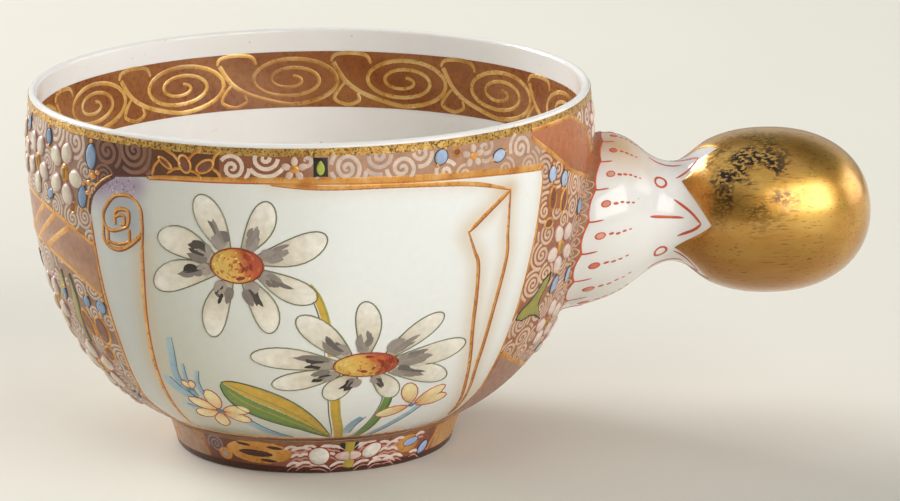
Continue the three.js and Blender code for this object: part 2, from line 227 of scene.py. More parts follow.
def egg_point(turn):
    power = 2 / KNOB_FULLNESS
    along = math.copysign(abs(math.cos(turn)) ** power, math.cos(turn))
    across = abs(math.sin(turn)) ** power
    return Vector((KNOB_RADIUS * across, EGG_CENTRE - KNOB_HALF * along))


def handle_outline():
    base = Vector((COLLAR_RADIUS, WALL_REACH))
    neck = Vector((NECK_RADIUS, NECK_REACH))
    bell = bezier(base, base + COLLAR_SHOULDER, neck - Vector((0, COLLAR_NECK_PULL)), neck, 40)
    egg_turn = math.acos(KNOB_BLEND ** (KNOB_FULLNESS / 2))
    egg = egg_point(egg_turn)
    egg_way = (egg_point(egg_turn + 0.01) - egg).normalized()
    fillet = bezier(neck, neck + Vector((0, KNOB_PULL)), egg - egg_way * KNOB_PULL, egg, 24)
    turns = [egg_turn + (math.pi - egg_turn) * step / 60 for step in range(1, 60)]
    tip = Vector((0, EGG_CENTRE + KNOB_HALF))
    return Profile(bell), Profile(bell + fillet[1:] + [egg_point(turn) for turn in turns] + [tip])


BELL_LINE, HANDLE_LINE = handle_outline()


def wall_shift(radius, turn):
    """How far the bowl's wall stands beyond its place on the handle's axis, at a place round the handle."""
    away = radius * math.cos(turn)
    at_height = radius_at_height(COLLAR_HEIGHT - radius * math.sin(turn))
    return math.sqrt(at_height**2 - away**2) - WALL_REACH


def handle_point(way, turn, lift):
    """A point of the handle's outside; the bell is drawn back to the wall that it stands on."""
    spot, out = HANDLE_LINE.at(way)
    spot = spot + out * lift
    left = max(0.0, 1 - way / BELL_LINE.length)
    reach = spot.y + wall_shift(COLLAR_RADIUS, turn) * left**2
    return level(max(spot.x, 0.0), reach, turn, HANDLE_HEIGHT - COLLAR_SAG * left**2)


def turned(outline, turns, place, closed=False):
    """Points and faces of an outline turned full circle; a point on the axis is shared."""
    points = []
    faces = []
    rings = []
    for spot in outline:
        if spot.x < 1e-6:
            rings.append([len(points)] * turns)
            points.append(place(0, spot.y, 0))
            continue
        rings.append(list(range(len(points), len(points) + turns)))
        points.extend(place(spot.x, spot.y, 2 * math.pi * step / turns) for step in range(turns))
    followers = rings[1:] + (rings[:1] if closed else [])
    for lower, upper in zip(rings, followers):
        for step in range(turns):
            after = (step + 1) % turns
            corners = (lower[step], lower[after], upper[after], upper[step])
            faces.append(tuple(dict.fromkeys(corners)))
    return points, faces


def ring_faces(rings, turns, closed=False):
    """Faces between rings of points that follow one another."""
    faces = []
    for ring in range(rings if closed else rings - 1):
        a = ring * turns
        b = (ring + 1) % rings * turns
        for step in range(turns):
            after = (step + 1) % turns
            faces.append((a + step, a + after, b + after, b + step))
    return faces


def slab(top, low):
    """Points and faces of a closed sheet between two grids of the same size."""
    rows = len(top)
    columns = len(top[0])
    size = rows * columns
    points = [point for row in top for point in row] + [point for row in low for point in row]
    faces = []
    for row in range(rows - 1):
        for column in range(columns - 1):
            a = row * columns + column
            faces.append((a, a + 1, a + 1 + columns, a + columns))
            faces.append((a + size, a + columns + size, a + 1 + columns + size, a + 1 + size))
    edge = list(range(columns))
    edge += [row * columns + columns - 1 for row in range(1, rows)]
    edge += [(rows - 1) * columns + column for column in range(columns - 2, -1, -1)]
    edge += [row * columns for row in range(rows - 2, 0, -1)]
    for start, end in zip(edge, edge[1:] + edge[:1]):
        faces.append((start, start + size, end + size, end))
    return points, faces


def make_piece(name, points, faces, material, slot, *nodes):
    """A smooth piece that rides on the cup and stands for the named solids."""
    mesh = bpy.data.meshes.new(name)
    mesh.from_pydata([point * MM for point in points], [], faces)
    mesh.update()
    mesh.shade_smooth()
    mesh.set_sharp_from_angle(angle=math.radians(60))
    mesh.materials.append(material)
    piece = bpy.data.objects.new(name, mesh)
    bpy.context.scene.collection.objects.link(piece)
    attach(piece, BODY)
    if nodes:
        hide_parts(*nodes)
    return piece


def linear(colour):
    """A colour written as #rrggbb, or one that is linear already, as linear red, green, blue and alpha."""
    if not isinstance(colour, str):
        return colour
    channels = []
    for start in (1, 3, 5):
        share = int(colour[start : start + 2], 16) / 255
        channels.append(share / 12.92 if share <= 0.04045 else ((share + 0.055) / 1.055) ** 2.4)
    return (*channels, 1.0)


def blend(first, second, share):
    """A colour between two colours."""
    share = unit(share)
    return tuple(a + (b - a) * share for a, b in zip(linear(first), linear(second)))


def given(value, *place):
    """A value that is fixed, or that a rule gives for a place."""
    return value(*place) if callable(value) else value


class Paint:
    """Thin raised paint of one finish, gathered as closed forms and made into one piece.

    A place turns (across, up, lift) on flat paper into a point on a surface. A colour is one colour, or a
    rule that gives a colour for each (across, up).
    """

    every = []

    def __init__(self, name, material, slot, *nodes):
        self.name = name
        self.material = material
        self.slot = slot
        self.nodes = nodes
        self.points = []
        self.faces = []
        self.colours = []
        Paint.every.append(self)

    def add(self, points, faces, colours):
        first = len(self.points)
        self.points.extend(points)
        self.faces.extend(tuple(first + corner for corner in face) for face in faces)
        self.colours.extend(linear(colour) for colour in colours)

    def stroke(self, place, line, width, colour=CREAM, height=0.06, base=0.0, closed=False):
        """A crowned line; its width is a number, or a rule for the share of its length."""
        points = []
        faces = []
        colours = []
        count = len(line)
        for step, (across, up) in enumerate(line):
            before = line[step - 1] if closed or step else line[step]
            after = line[(step + 1) % count] if closed or step < count - 1 else line[step]
            along = Vector((after[0] - before[0], after[1] - before[1])).normalized()
            side = Vector((-along.y, along.x)) * given(width, step / (count - 1)) / 2
            points.append(place(across + side.x, up + side.y, base - SINK))
            points.append(place(across, up, base + height))
            points.append(place(across - side.x, up - side.y, base - SINK))
            colours += [given(colour, across, up)] * 3
        for step in range(count if closed else count - 1):
            a = 3 * step
            b = 3 * ((step + 1) % count)
            faces.append((a, a + 1, b + 1, b))
            faces.append((a + 1, a + 2, b + 2, b + 1))
            faces.append((a + 2, a, b, b + 2))
        if not closed:
            last = 3 * (count - 1)
            faces.append((0, 2, 1))
            faces.append((last, last + 1, last + 2))
        self.add(points, faces, colours)

    def patch(self, place, outline, colour=CREAM, height=0.08, base=0.0):
        """A domed patch inside an outline that runs counter-clockwise."""
        count = len(outline)
        middle = (sum(spot[0] for spot in outline) / count, sum(spot[1] for spot in outline) / count)
        rings = ((1.0, -SINK), (0.86, 0.72 * height), (0.5, height))
        spots = []
        for share, lift in rings:
            for across, up in outline:
                across = middle[0] + (across - middle[0]) * share
                up = middle[1] + (up - middle[1]) * share
                spots.append((across, up, lift))
        spots += [(*middle, height), (*middle, -SINK)]
        faces = ring_faces(len(rings), count)
        top = len(rings) * count
        for step in range(count):
            after = (step + 1) % count
            faces.append((top - count + step, top - count + after, top))
            faces.append((after, step, top + 1))
        points = [place(across, up, base + lift) for across, up, lift in spots]
        self.add(points, faces, [given(colour, across, up) for across, up, _ in spots])

    def edged(self, place, outline, colour, height, edge, base=GROUND):
        """A patch with a line along its edge, which is given as (width, colour, height)."""
        self.patch(place, outline, colour, height, base)
        self.stroke(place, outline, *edge, base, True)

    def field(self, point, left, right, base, rise, columns, colour=CREAM):
        """A flat field between two rows of places (angle, way); the first is left of the way along them."""
        grids = []
        tints = []
        for lift in (base + rise, base - SINK):
            grid = []
            for (left_angle, left_way), (right_angle, right_way) in zip(left, right):
                row = []
                for column in range(columns + 1):
                    share = column / columns
                    angle = left_angle + (right_angle - left_angle) * share
                    way = left_way + (right_way - left_way) * share
                    row.append(point(angle, way, lift))
                    tints.append(given(colour, angle, way))
                grid.append(row)
            grids.append(grid)
        self.add(*slab(*grids), tints)

    def ring(self, point, low, high, base, rise, colour=CREAM, rows=6, turns=BAND_TURNS):
        """A band all round between two ways, each fixed or a rule for the angle."""
        shares = [row / rows for row in range(rows + 1)]
        sides = [(share, base + rise) for share in shares]
        sides += [(share, base - SINK) for share in reversed(shares)]
        points = []
        colours = []
        for share, lift in sides:
            for step in range(turns):
                angle = 360 * step / turns
                way = given(low, angle) + (given(high, angle) - given(low, angle)) * share
                points.append(point(angle, way, lift))
                colours.append(given(colour, angle, way))
        self.add(points, ring_faces(len(sides), turns, True), colours)

    def make(self):
        piece = make_piece(self.name, self.points, self.faces, self.material, self.slot, *self.nodes)
        layer = piece.data.color_attributes.new("paint", "FLOAT_COLOR", "POINT")
        layer.data.foreach_set("color", [channel for colour in self.colours for channel in colour])


# Flat paper on the surfaces


def bowl_paper(angle, way, tilt=0.0):
    """Paper on the outside of the bowl, from one place on it."""
    return tilted(bowl_point, angle, way, bowl_radius(way), tilt)


def tilted(point, angle, way, radius, tilt):
    cosine = math.cos(math.radians(tilt))
    sine = math.sin(math.radians(tilt))

    def place(across, up, lift):
        aside = across * cosine - up * sine
        above = across * sine + up * cosine
        return point(angle + math.degrees(aside / radius), way + above, lift)

    return place


def inner_paper(angle, way, tilt=0.0):
    return tilted(inner_point, angle, way, bowl_radius(way) - thickness(way), tilt)


def foot_paper(angle, height, tilt=0.0):
    return tilted(foot_point, angle, height, FOOT_RADIUS, tilt)


def wall_paper(turn):
    """Paper all over the outside; across is measured round the bowl from the middle of a panel."""

    def place(across, up, lift):
        return bowl_point(turn + math.degrees(across / bowl_radius(up)), up, lift)

    return place


def on_wall(spots):
    """Places (angle, way) as points of the wall paper."""
    return [(math.radians(angle) * bowl_radius(way), way) for angle, way in spots]


def collar_paper(way, turn):
    """Paper on the handle; across runs along the handle and up runs round it."""
    radius = HANDLE_LINE.at(way)[0].x

    def place(across, up, lift):
        return handle_point(way + across, math.radians(-turn) - up / radius, lift)

    return place


# Lines and outlines on flat paper


def smooth(spots, steps=6):
    """A smooth line through a few points."""
    line = []
    ends = [spots[0], *spots, spots[-1]]
    for before, start, end, after in zip(ends, ends[1:], ends[2:], ends[3:]):
        for step in range(steps):
            t = step / steps
            spot = []
            for b, s, e, a in zip(before, start, end, after):
                bend = (2 * b - 5 * s + 4 * e - a) * t**2 + (3 * s - b - 3 * e + a) * t**3
                spot.append(s + ((e - b) * t + bend) / 2)
            line.append(tuple(spot))
    line.append(tuple(spots[-1]))
    return line


def oval(across, up, count=14, middle=(0.0, 0.0), tilt=0.0):
    """An oval outline, by its half width and half height."""
    cosine = math.cos(tilt)
    sine = math.sin(tilt)
    outline = []
    for step in range(count):
        turn = 2 * math.pi * step / count
        x = across * math.cos(turn)
        y = up * math.sin(turn)
        outline.append((middle[0] + x * cosine - y * sine, middle[1] + x * sine + y * cosine))
    return outline


def petal(start, end, width, count=8, fullness=1.15):
    """A petal's outline from its foot to its tip, fuller towards the tip."""
    start = Vector(start)
    along = Vector(end) - start
    side = Vector((along.y, -along.x)).normalized() * width / 2
    right = []
    left = []
    for step in range(1, count):
        share = (1 - math.cos(math.pi * step / count)) / 2
        half = math.sqrt(math.sin(math.pi * share**fullness))
        right.append(tuple(start + along * share + side * half))
        left.append(tuple(start + along * share - side * half))
    return [tuple(start), *right, tuple(start + along), *reversed(left)]


def lens(length, width):
    """An outline that is pointed at both ends."""
    return petal((-length / 2, 0), (length / 2, 0), width, 8, 1.0)


def spiral(radius, pitch, start):
    """A line wound out from the middle."""
    turns = radius / pitch
    count = max(8, round(turns * 13))
    line = []
    for step in range(count + 1):
        turn = start + 2 * math.pi * turns * step / count
        reach = radius * step / count
        line.append((reach * math.cos(turn), reach * math.sin(turn)))
    return line


def tapered(width, foot=0.35, tip=0.35):
    """A line's width that is full in the middle and thinner at its ends."""

    def rule(share):
        ends = min(share / 0.2, (1 - share) / 0.2, 1.0)
        thin = foot if share < 0.5 else tip
        return width * (thin + (1 - thin) * ends)

    return rule


# Materials


class Shader:
    """A material's nodes, with short calls for the ones that are used here."""

    def __init__(self, name, **values):
        self.material = bpy.data.materials.new(name)
        self.material.use_nodes = True
        self.tree = self.material.node_tree
        self.surface = self.tree.nodes["Principled BSDF"]
        for socket, value in values.items():
            self.surface.inputs[socket.replace("_", " ")].default_value = value
        self.coordinates = self.tree.nodes.new("ShaderNodeTexCoord").outputs["Object"]

    def link(self, output, socket):
        self.tree.links.new(output, self.surface.inputs[socket])

    def node(self, kind, output, inputs, **settings):
        """Adds a node, links or sets its inputs, and gives one of its outputs."""
        node = self.tree.nodes.new(f"ShaderNode{kind}")
        for name, value in settings.items():
            setattr(node, name, value)
        for socket, value in inputs.items():
            if isinstance(value, bpy.types.NodeSocket):
                self.tree.links.new(value, node.inputs[socket])
            else:
                node.inputs[socket].default_value = value
        return node.outputs[output]

    def noise(self, size, detail=3.0, stretch=(1, 1, 1)):
        """Clouds of about this size in millimetres, stretched along the axes."""
        scale = [1 / (size * MM * share) for share in stretch]
        place = self.node("Mapping", "Vector", {"Vector": self.coordinates, "Scale": scale})
        return self.node("TexNoise", "Fac", {"Vector": place, "Scale": 1.0, "Detail": detail})

    def ramp(self, factor, *stops):
        """Colours along a factor, as (position, colour)."""
        node = self.tree.nodes.new("ShaderNodeValToRGB")
        elements = node.color_ramp.elements
        while len(elements) < len(stops):
            elements.new(0.5)
        for element, (position, colour) in zip(elements, stops):
            element.position = position
            element.color = linear(colour)
        self.tree.links.new(factor, node.inputs["Fac"])
        return node.outputs["Color"]

    def range(self, factor, low, high, start=0.0, end=1.0):
        """A factor between two limits, spread from start to end."""
        limits = {"From Min": low, "From Max": high, "To Min": start, "To Max": end}
        return self.node("MapRange", "Result", {"Value": factor, **limits})

    def multiply(self, first, second):
        return self.node("Math", "Value", {0: first, 1: second}, operation="MULTIPLY")

    def mix(self, factor, first, second):
        """One colour over another, by a factor."""
        lower, upper = (linear(colour) if isinstance(colour, str) else colour for colour in (first, second))
        return self.node("Mix", 2, {"Factor": factor, 6: lower, 7: upper}, data_type="RGBA")

    def near(self, point, full, none):
        """1 within one distance of a point, falling to 0 at another."""
        ends = {0: self.coordinates, 1: point * MM}
        distance = self.node("VectorMath", "Value", ends, operation="DISTANCE")
        return self.range(distance, full * MM, none * MM, 1.0, 0.0)

    def bump(self, height, strength, depth):
        inputs = {"Height": height, "Strength": strength, "Distance": depth * MM}
        self.link(self.node("Bump", "Normal", inputs), "Normal")


def porcelain_material():
    shader = Shader("porcelain", IOR=1.52, Subsurface_Weight=0.2, Subsurface_Scale=0.001)
    shader.surface.inputs["Subsurface Radius"].default_value = (1.6, 1.3, 1.0)
    clouds = shader.ramp(shader.noise(14), (0.35, "#f1efe9"), (0.65, "#f6f4f0"))
    # Painted reflection: the glaze turns warm beige near the top of the collar
    collar_top = handle_point(3.6, math.radians(-75), 0)
    warm_painted_reflection = shader.mix(shader.near(collar_top, 1.0, 6.6), clouds, "#d8ba96")
    specks = shader.range(shader.noise(0.5, 1.0), 0.76, 0.82)
    shader.link(shader.mix(specks, warm_painted_reflection, "#d6ccb8"), "Base Color")
    shader.link(shader.range(shader.noise(3), 0.3, 0.7, 0.07, 0.13), "Roughness")
    shader.bump(shader.noise(5, 2.0), 0.05, 0.05)
    return shader.material


def paint_material(name, roughness=0.28, uneven_by=0.14):
    """Fired paint in the colours of the strokes, uneven as brushed enamel is."""
    shader = Shader(name, IOR=1.5)
    colours = shader.node("Attribute", "Color", {}, attribute_name="paint")
    shade = shader.range(shader.noise(0.9), 0.3, 0.7, 1 - uneven_by, 1 + uneven_by)
    shader.link(shader.node("HueSaturation", "Color", {"Color": colours, "Value": shade}), "Base Color")
    shader.link(shader.range(shader.noise(0.7), 0.3, 0.7, roughness - 0.1, roughness + 0.1), "Roughness")
    shader.bump(shader.noise(0.5), uneven_by, 0.03)
    return shader.material


def line_gold_material(name, tones, worn=None):
    """Gold of painted lines, thin enough to show the colour under it, and rubbed away here and there."""
    shader = Shader(name, Metallic=0.4)
    gold = shader.ramp(shader.noise(2.4), *zip((0.3, 0.5, 0.75), tones))
    if worn:
        gold = shader.mix(shader.range(shader.noise(15, 1.0), 0.54, 0.66, 0.0, 0.7), gold, worn)
    shader.link(gold, "Base Color")
    shader.link(shader.range(shader.noise(0.6), 0.3, 0.7, 0.22, 0.45), "Roughness")
    shader.bump(shader.noise(0.3), 0.1, 0.03)
    return shader.material


def rim_gold_material():
    """Gold of the rim line, rubbed off in places down to its dark ground."""
    shader = Shader("rim_gold")
    worn = shader.range(shader.noise(0.26, 6.0), 0.5, 0.62)
    gold = shader.ramp(shader.noise(0.8), (0.3, "#b98438"), (0.7, "#ecc578"))
    shader.link(shader.mix(worn, gold, "#5e4020"), "Base Color")
    shader.link(shader.range(worn, 0.0, 1.0, 0.95, 0.25), "Metallic")
    shader.link(shader.range(shader.noise(0.5), 0.3, 0.7, 0.25, 0.5), "Roughness")
    return shader.material


def knob_gold_material():
    """Burnished gold, painted light at its crown and shade below, with brown patina on its upper shoulder and
    fine scratches along it.
    """
    shader = Shader("knob_gold", Metallic=1.0, Coat_Weight=0.85, Coat_Roughness=0.2)
    burnish = shader.ramp(shader.noise(2.5, stretch=(3, 1, 1)), (0.3, "#d99b3f"), (0.7, "#f3c361"))
    # Painted light and shade: the gold is brightest by the knob's crown and darker towards its lower side
    crown = handle_point(BELL_LINE.length + 14.0, math.radians(-90), 0)
    crown_lit_shaded_below = shader.mix(shader.near(crown, 10.0, 22.0), "#a06826", burnish)
    scratches = shader.range(shader.noise(0.2, 4.0, (12, 1, 1)), 0.58, 0.72, 0.0, 0.75)
    scratched = shader.mix(scratches, crown_lit_shaded_below, "#5d3812")
    shoulder = handle_point(BELL_LINE.length + 9.0, math.radians(-42), 0)
    specks = shader.range(shader.noise(0.36, 8.0, (1.5, 1, 1)), 0.42, 0.52)
    clumps = shader.range(shader.noise(3.2, 3.0), 0.43, 0.53, 0.15, 1.0)
    patina = shader.multiply(shader.multiply(specks, clumps), shader.near(shoulder, 3.2, 8.6))
    shader.link(shader.mix(patina, scratched, "#2c1907"), "Base Color")
    shader.link(shader.range(patina, 0.0, 1.0, 0.34, 0.55), "Roughness")
    shader.bump(shader.noise(0.3, 3.0, (6, 1, 1)), 0.12, 0.03)
    return shader.material


PORCELAIN = porcelain_material()
ENAMEL = paint_material("enamel", 0.36)
INNER_ENAMEL = paint_material("inner_enamel", 0.3)
FLOWER_ENAMEL = paint_material("flower_enamel", 0.35, 0.1)
PANEL_GLAZE = paint_material("panel_glaze", 0.14, 0.012)
LINE_GOLD = line_gold_material("line_gold", ("#c07c34", "#d99a4c", "#eab873"))
INNER_GOLD = line_gold_material("inner_gold", ("#c28a3c", "#dcac5c", "#eecb8a"), "#8a5026")
RIM_GOLD = rim_gold_material()
KNOB_GOLD = knob_gold_material()

# Porcelain


def bowl():
    """The bowl's wall with its round lip, and its floor."""
    ways = [WALL_LINE.length * row / WALL_ROWS for row in range(WALL_ROWS + 1)]
    outside = [WALL_LINE.at(way)[0] for way in ways]
    inside = []
    for way in reversed(ways):
        spot, out = WALL_LINE.at(way)
        inside.append(spot - out * thickness(way))
    edge, out = WALL_LINE.at(WALL_LINE.length)
    centre = edge - out * LIP / 2
    start = math.atan2(out.y, out.x)
    lip = []
    for step in range(1, LIP_STEPS):
        turn = start + math.pi * step / LIP_STEPS
        lip.append(centre + Vector((math.cos(turn), math.sin(turn))) * LIP / 2)
    inner_floor = FOOT_HEIGHT + FLOOR
    inside = [spot for spot in inside if spot.y > inner_floor + FLOOR_CORNER]
    middle = [Vector((inside[-1].x - FLOOR_SWEEP, inner_floor)), Vector((0, inner_floor))]
    outline = [Vector((0, FOOT_HEIGHT)), *outside, *lip, *inside, *middle]
    make_piece("bowl_porcelain", *turned(outline, BOWL_TURNS, upright), PORCELAIN, "porcelain", "bowl")


def foot_ring():
    """The ring under the bowl, rounded at both of its lower edges."""
    inner = FOOT_RADIUS - FOOT_RING_WIDTH
    outline = []
    for centre, quarter in ((FOOT_RADIUS - FOOT_EDGE, -1), (inner + FOOT_EDGE, 2)):
        arc = []
        for step in range(7):
            turn = math.pi / 2 * (quarter + step / 6)
            arc.append(Vector((centre + FOOT_EDGE * math.cos(turn), FOOT_EDGE * (1 + math.sin(turn)))))
        outline.append(arc)
    top = [Vector((FOOT_TOP_RADIUS, FOOT_HEIGHT)), Vector((inner, FOOT_HEIGHT))]
    form = turned(outline[0] + top + outline[1], BOWL_TURNS, upright, True)
    make_piece("foot_ring_porcelain", *form, PORCELAIN, "porcelain", "foot_ring")


FILLET = ((GLAZE_FILLET, -0.3), (0.55 * GLAZE_FILLET, 0.08), (0.2 * GLAZE_FILLET, 0.3))
FILLET_WAY = 0.8  # way up the bell where the fillet ends


def root_point(out, off, turn, lift):
    """A point of the fillet, by how far it stands out from the bell and from the bowl."""
    radius = COLLAR_RADIUS + out + lift
    return level(radius, WALL_REACH + wall_shift(radius, turn) + off + lift, turn, COLLAR_HEIGHT)


def handle():
    """Collar and knob in one glaze, with a fillet of glaze on the bowl."""
    turns = [2 * math.pi * step / HANDLE_TURNS for step in range(HANDLE_TURNS)]
    points = [root_point(out, off, turn, 0) for out, off in FILLET for turn in turns]
    for ring in range(HANDLE_RINGS - 1):
        way = FILLET_WAY + (HANDLE_LINE.length - FILLET_WAY) * ring / (HANDLE_RINGS - 1)
        points.extend(handle_point(way, turn, 0) for turn in turns)
    tip = len(points)
    points.append(handle_point(HANDLE_LINE.length, 0, 0))
    points.append(level(0, WALL_REACH - 1, 0, COLLAR_HEIGHT))
    faces = ring_faces(tip // HANDLE_TURNS, HANDLE_TURNS)
    last = tip - HANDLE_TURNS
    for step in range(HANDLE_TURNS):
        after = (step + 1) % HANDLE_TURNS
        faces.append((last + step, last + after, tip))
        faces.append((after, step, tip + 1))
    make_piece("handle_porcelain", points, faces, PORCELAIN, "porcelain", "handle_collar", "handle_knob")


bowl()
foot_ring()
handle()

# Gilding

# Points and notches of the gold's edge: degrees above the front, and way past the neck
KNOB_POINTS = ((48, 0.8), (121, 0.2), (194, 0.6), (260, 0.1), (327, -0.1))
KNOB_NOTCHES = ((0.5, 4.7), (70.5, 5.8), (150, 5.0), (222, 5.3), (295, 4.8))
EDGE_BOW = 0.4  # how far the edge bows towards the neck between them
GILDING_RINGS = 60


def knob_gilding():
    """Gold over the knob, ending in a zigzag round the neck."""
    points = []
    corners = sorted((turn, BELL_LINE.length + way) for turn, way in KNOB_POINTS + KNOB_NOTCHES)
    corners.append((corners[0][0] + 360, corners[0][1]))

    def edge(turn):
        above = (-math.degrees(turn) - corners[0][0]) % 360 + corners[0][0]
        for (start, low), (end, high) in zip(corners, corners[1:]):
            if start <= above <= end:
                share = (above - start) / (end - start)
                return low + (high - low) * share - EDGE_BOW * math.sin(math.pi * share)

    for lift in (GILDING, -SINK):
        for ring in range(GILDING_RINGS):
            for step in range(BAND_TURNS):
                turn = 2 * math.pi * step / BAND_TURNS
                way = edge(turn) + (HANDLE_LINE.length - edge(turn)) * ring / GILDING_RINGS
                rounding = 0.5 if ring == 0 and lift > 0 else 1.0
                points.append(handle_point(way, turn, lift * rounding))
        points.append(handle_point(HANDLE_LINE.length, 0, lift))
    size = len(points) // 2
    last = size - 1 - BAND_TURNS
    sheet = ring_faces(GILDING_RINGS, BAND_TURNS)
    for step in range(BAND_TURNS):
        sheet.append((last + step, last + (step + 1) % BAND_TURNS, size - 1))
    faces = sheet + [tuple(size + corner for corner in reversed(face)) for face in sheet]
    for step in range(BAND_TURNS):
        after = (step + 1) % BAND_TURNS
        faces.append((after, step, size + step, size + after))
    make_piece("knob_gold", points, faces, KNOB_GOLD, "gold", "knob_gilding")


rim_gold = Paint("rim_gold_line", RIM_GOLD, "gold", "rim_gilding")
rim_gold.ring(bowl_point, RIM_LINE_LOW, RIM_LINE_HIGH, 0.0, RIM_GOLD_RISE)
knob_gilding()

# Inner band: brown enamel with a running scroll of gold

INNER_SCROLLS = 14
INNER_TURN = -4.2  # place of one scroll, in degrees from the back
SCROLL_ACROSS = 6.2
SCROLL_UP = 3.1
SCROLL_TURNS = 2.45
SCROLL_LINE = 0.62
SCROLL_STEPS = 72


def inner_band():
    """Brown enamel inside the rim, with a row of gold scrolls."""
    ground = Paint("inner_band_enamel", INNER_ENAMEL, "inner_enamel", "inner_band")

    def tone(angle, way):
        patches = math.sin(math.radians(5 * angle)) * math.sin(math.radians(11 * angle + 40 * way))
        return blend("#844618", "#9a6233", 0.5 + 0.5 * patches)

    ground.ring(inner_point, INNER_BAND_LOW, INNER_BAND_HIGH, 0.0, GROUND, tone, 8)
    gold = Paint("inner_band_scrolls", INNER_GOLD, "gold")
    middle = (INNER_BAND_LOW + INNER_BAND_HIGH) / 2
    pitch = 2 * math.pi * (bowl_radius(middle) - thickness(middle)) / INNER_SCROLLS
    for scroll in range(INNER_SCROLLS):
        scroll_unit(gold, inner_paper(360 * scroll / INNER_SCROLLS + INNER_TURN, middle), pitch)


def scroll_unit(gold, place, pitch):
    """One scroll of the running border: a tail from the scroll before, a wound line, an arch and a drop."""
    tail = [(5.2 - pitch, 2.1), (6.7 - pitch, -0.2), (8.9 - pitch, -1.7), (-1.9, -2.75), (0, -SCROLL_UP)]
    line = smooth(tail)[:-1]
    for step in range(SCROLL_STEPS + 1):
        share = step / SCROLL_STEPS
        turn = 2 * math.pi * (SCROLL_TURNS * share - 0.25)
        reach = 1 - 0.86 * share
        line.append((SCROLL_ACROSS * reach * math.cos(turn), SCROLL_UP * reach * math.sin(turn)))
    gold.stroke(place, line, lambda share: SCROLL_LINE * (1.05 - 0.35 * share), height=0.08, base=GROUND)
    arch = [(4.9, 2.2), (5.4, 3.0), (7.2, 3.25), (9.2, 3.0), (9.8, 2.0)]
    drop = [(6.7, -0.3), (5.7, -1.5), (5.4, -2.5), (7.0, -3.15), (8.4, -2.6), (8.2, -1.7)]
    for spots in (arch, drop):
        gold.stroke(place, smooth(spots), tapered(0.85 * SCROLL_LINE, 0.7, 0.7), height=0.07, base=GROUND)


inner_band()

# Panels: white paper shaped as an open scroll, placed by (angle, way)

LEFT_EDGE = [(-53, 1.4), (-52.4, 8.6), (-50.4, 12), (-48.6, 16.5), (-48.2, 20.2), (-48.5, 25),
             (-49.2, 31.5), (-49.6, 33.8)]
ROLL_ARCH = [(-49.6, 33.8), (-48.8, 35.8), (-45.6, 37.6), (-41.9, 38.8)]
INNER_LEFT = [(-43, 4), (-41.2, 8.3), (-40.1, 12), (-38.4, 18), (-37, 24), (-36.1, 28.4), (-35.6, 31.5)]
TOP_LINE = [(-41.9, 38.8), (-35.5, 39.3), (-26.3, 39.7), (-12, 39.9), (0, 39.9), (17.5, 39.6), (35, 39.1),
            (53, 38.2)]
SECOND_TOP = [(-8, 39.5), (1.7, 39.1), (17.5, 38.9), (32.7, 38.1), (42.8, 36.6)]
INNER_RIGHT = [(46.5, 4.5), (44.6, 8.5), (41.4, 13.9), (40.7, 17.5), (40.8, 21.7), (41.5, 25), (42.6, 29),
               (42.4, 32), (42.8, 36.6)]
FOLD_TOP = [(42.8, 36.6), (37.5, 34.7), (32.3, 32.6)]
FOLD_SIDE = [(32.3, 32.6), (33.9, 30.3), (35.1, 28.6), (35.5, 25), (35.9, 21.3), (37.1, 17.9), (40, 12.5),
             (43.5, 8), (46, 4.5)]
RIGHT_EDGE = [(51, 1.4), (49.2, 8.7), (48.2, 14), (48.6, 20), (49.9, 26.4), (51.3, 31), (52.6, 35.5),
              (52.9, 38.1)]
LOW_LINE = [(-53, 1.4), (-27, 1.5), (0, 1.8), (23, 1.8), (51, 1.4)]
ROLL_CENTRE = (-40.1, 34.4)
ROLL_SHADE = [(-48, 34.6), (-47, 36.2), (-44.4, 37.5), (-40.6, 38.2), (-36.8, 38.2)]
ROLL_LINES = (  # ring, square, bowl, and the box's sides and floor, each with its width
    ([(-36.1, 29.6), (-35.5, 32.4), (-35.4, 33.9), (-35.7, 35.6), (-37.4, 36.7), (-39.8, 36.9),
      (-42.4, 36.5), (-44.6, 35.2), (-45.6, 34.1), (-45.3, 33), (-43.7, 32.5), (-41.6, 32.7),
      (-39.3, 33.2)], 0.45),
    ([(-39.3, 33.2), (-38.7, 34), (-38.8, 35.1), (-40.6, 35.2), (-42.2, 34.7), (-42.3, 33.3)], 0.5),
    ([(-42, 34.2), (-41, 34.5), (-39.9, 34.4), (-39.9, 33.5), (-40.9, 33.4)], 0.4),
    ([(-45.6, 33.3), (-45.8, 31.3), (-44.2, 30.5), (-41.7, 30.4), (-39.2, 31), (-36.6, 32.1),
      (-35.7, 32.7)], 0.55),
    ([(-44.5, 32.4), (-44.6, 30.9)], 0.45),
    ([(-38.7, 33), (-38.9, 31.3)], 0.45),
    ([(-44.6, 31.1), (-41.9, 31), (-38.9, 31.5)], 0.35),
)
# Gold dots over the arch: angle, way and half width
ROLL_DOTS = ((-49.9, 36.2, 0.4), (-49.3, 37.4, 0.5), (-48.2, 38.3, 0.55), (-46.8, 38.8, 0.4))
ROLL_SPECKS = 60
# Gold lines of a panel with their widths, each with a wider red line under it
PANEL_LINES = ((LEFT_EDGE, 0.5), (INNER_LEFT, 0.5), (SECOND_TOP, 0.58), (INNER_RIGHT, 0.42),
               (FOLD_TOP, 0.42), (FOLD_SIDE, 0.42), (RIGHT_EDGE, 0.4), (LOW_LINE, 0.4))
RED_LINE = 0.3
PANEL_ROWS = 64
PANEL_COLUMNS = 96


def edge_angle(edge, way):
    """Angle of a panel's edge at a way up the wall."""
    return follow([(height, angle) for angle, height in edge], way)


def distance_to(line, angle, way):
    """Millimetres from a place to the nearest point of a line of places."""
    across = (line[:, 0] - angle) * math.radians(1) * bowl_radius(way)
    return float(np.hypot(across, line[:, 1] - way).min())


def fine(line):
    """Close points along a line of places."""
    return np.array(smooth(line, 10))


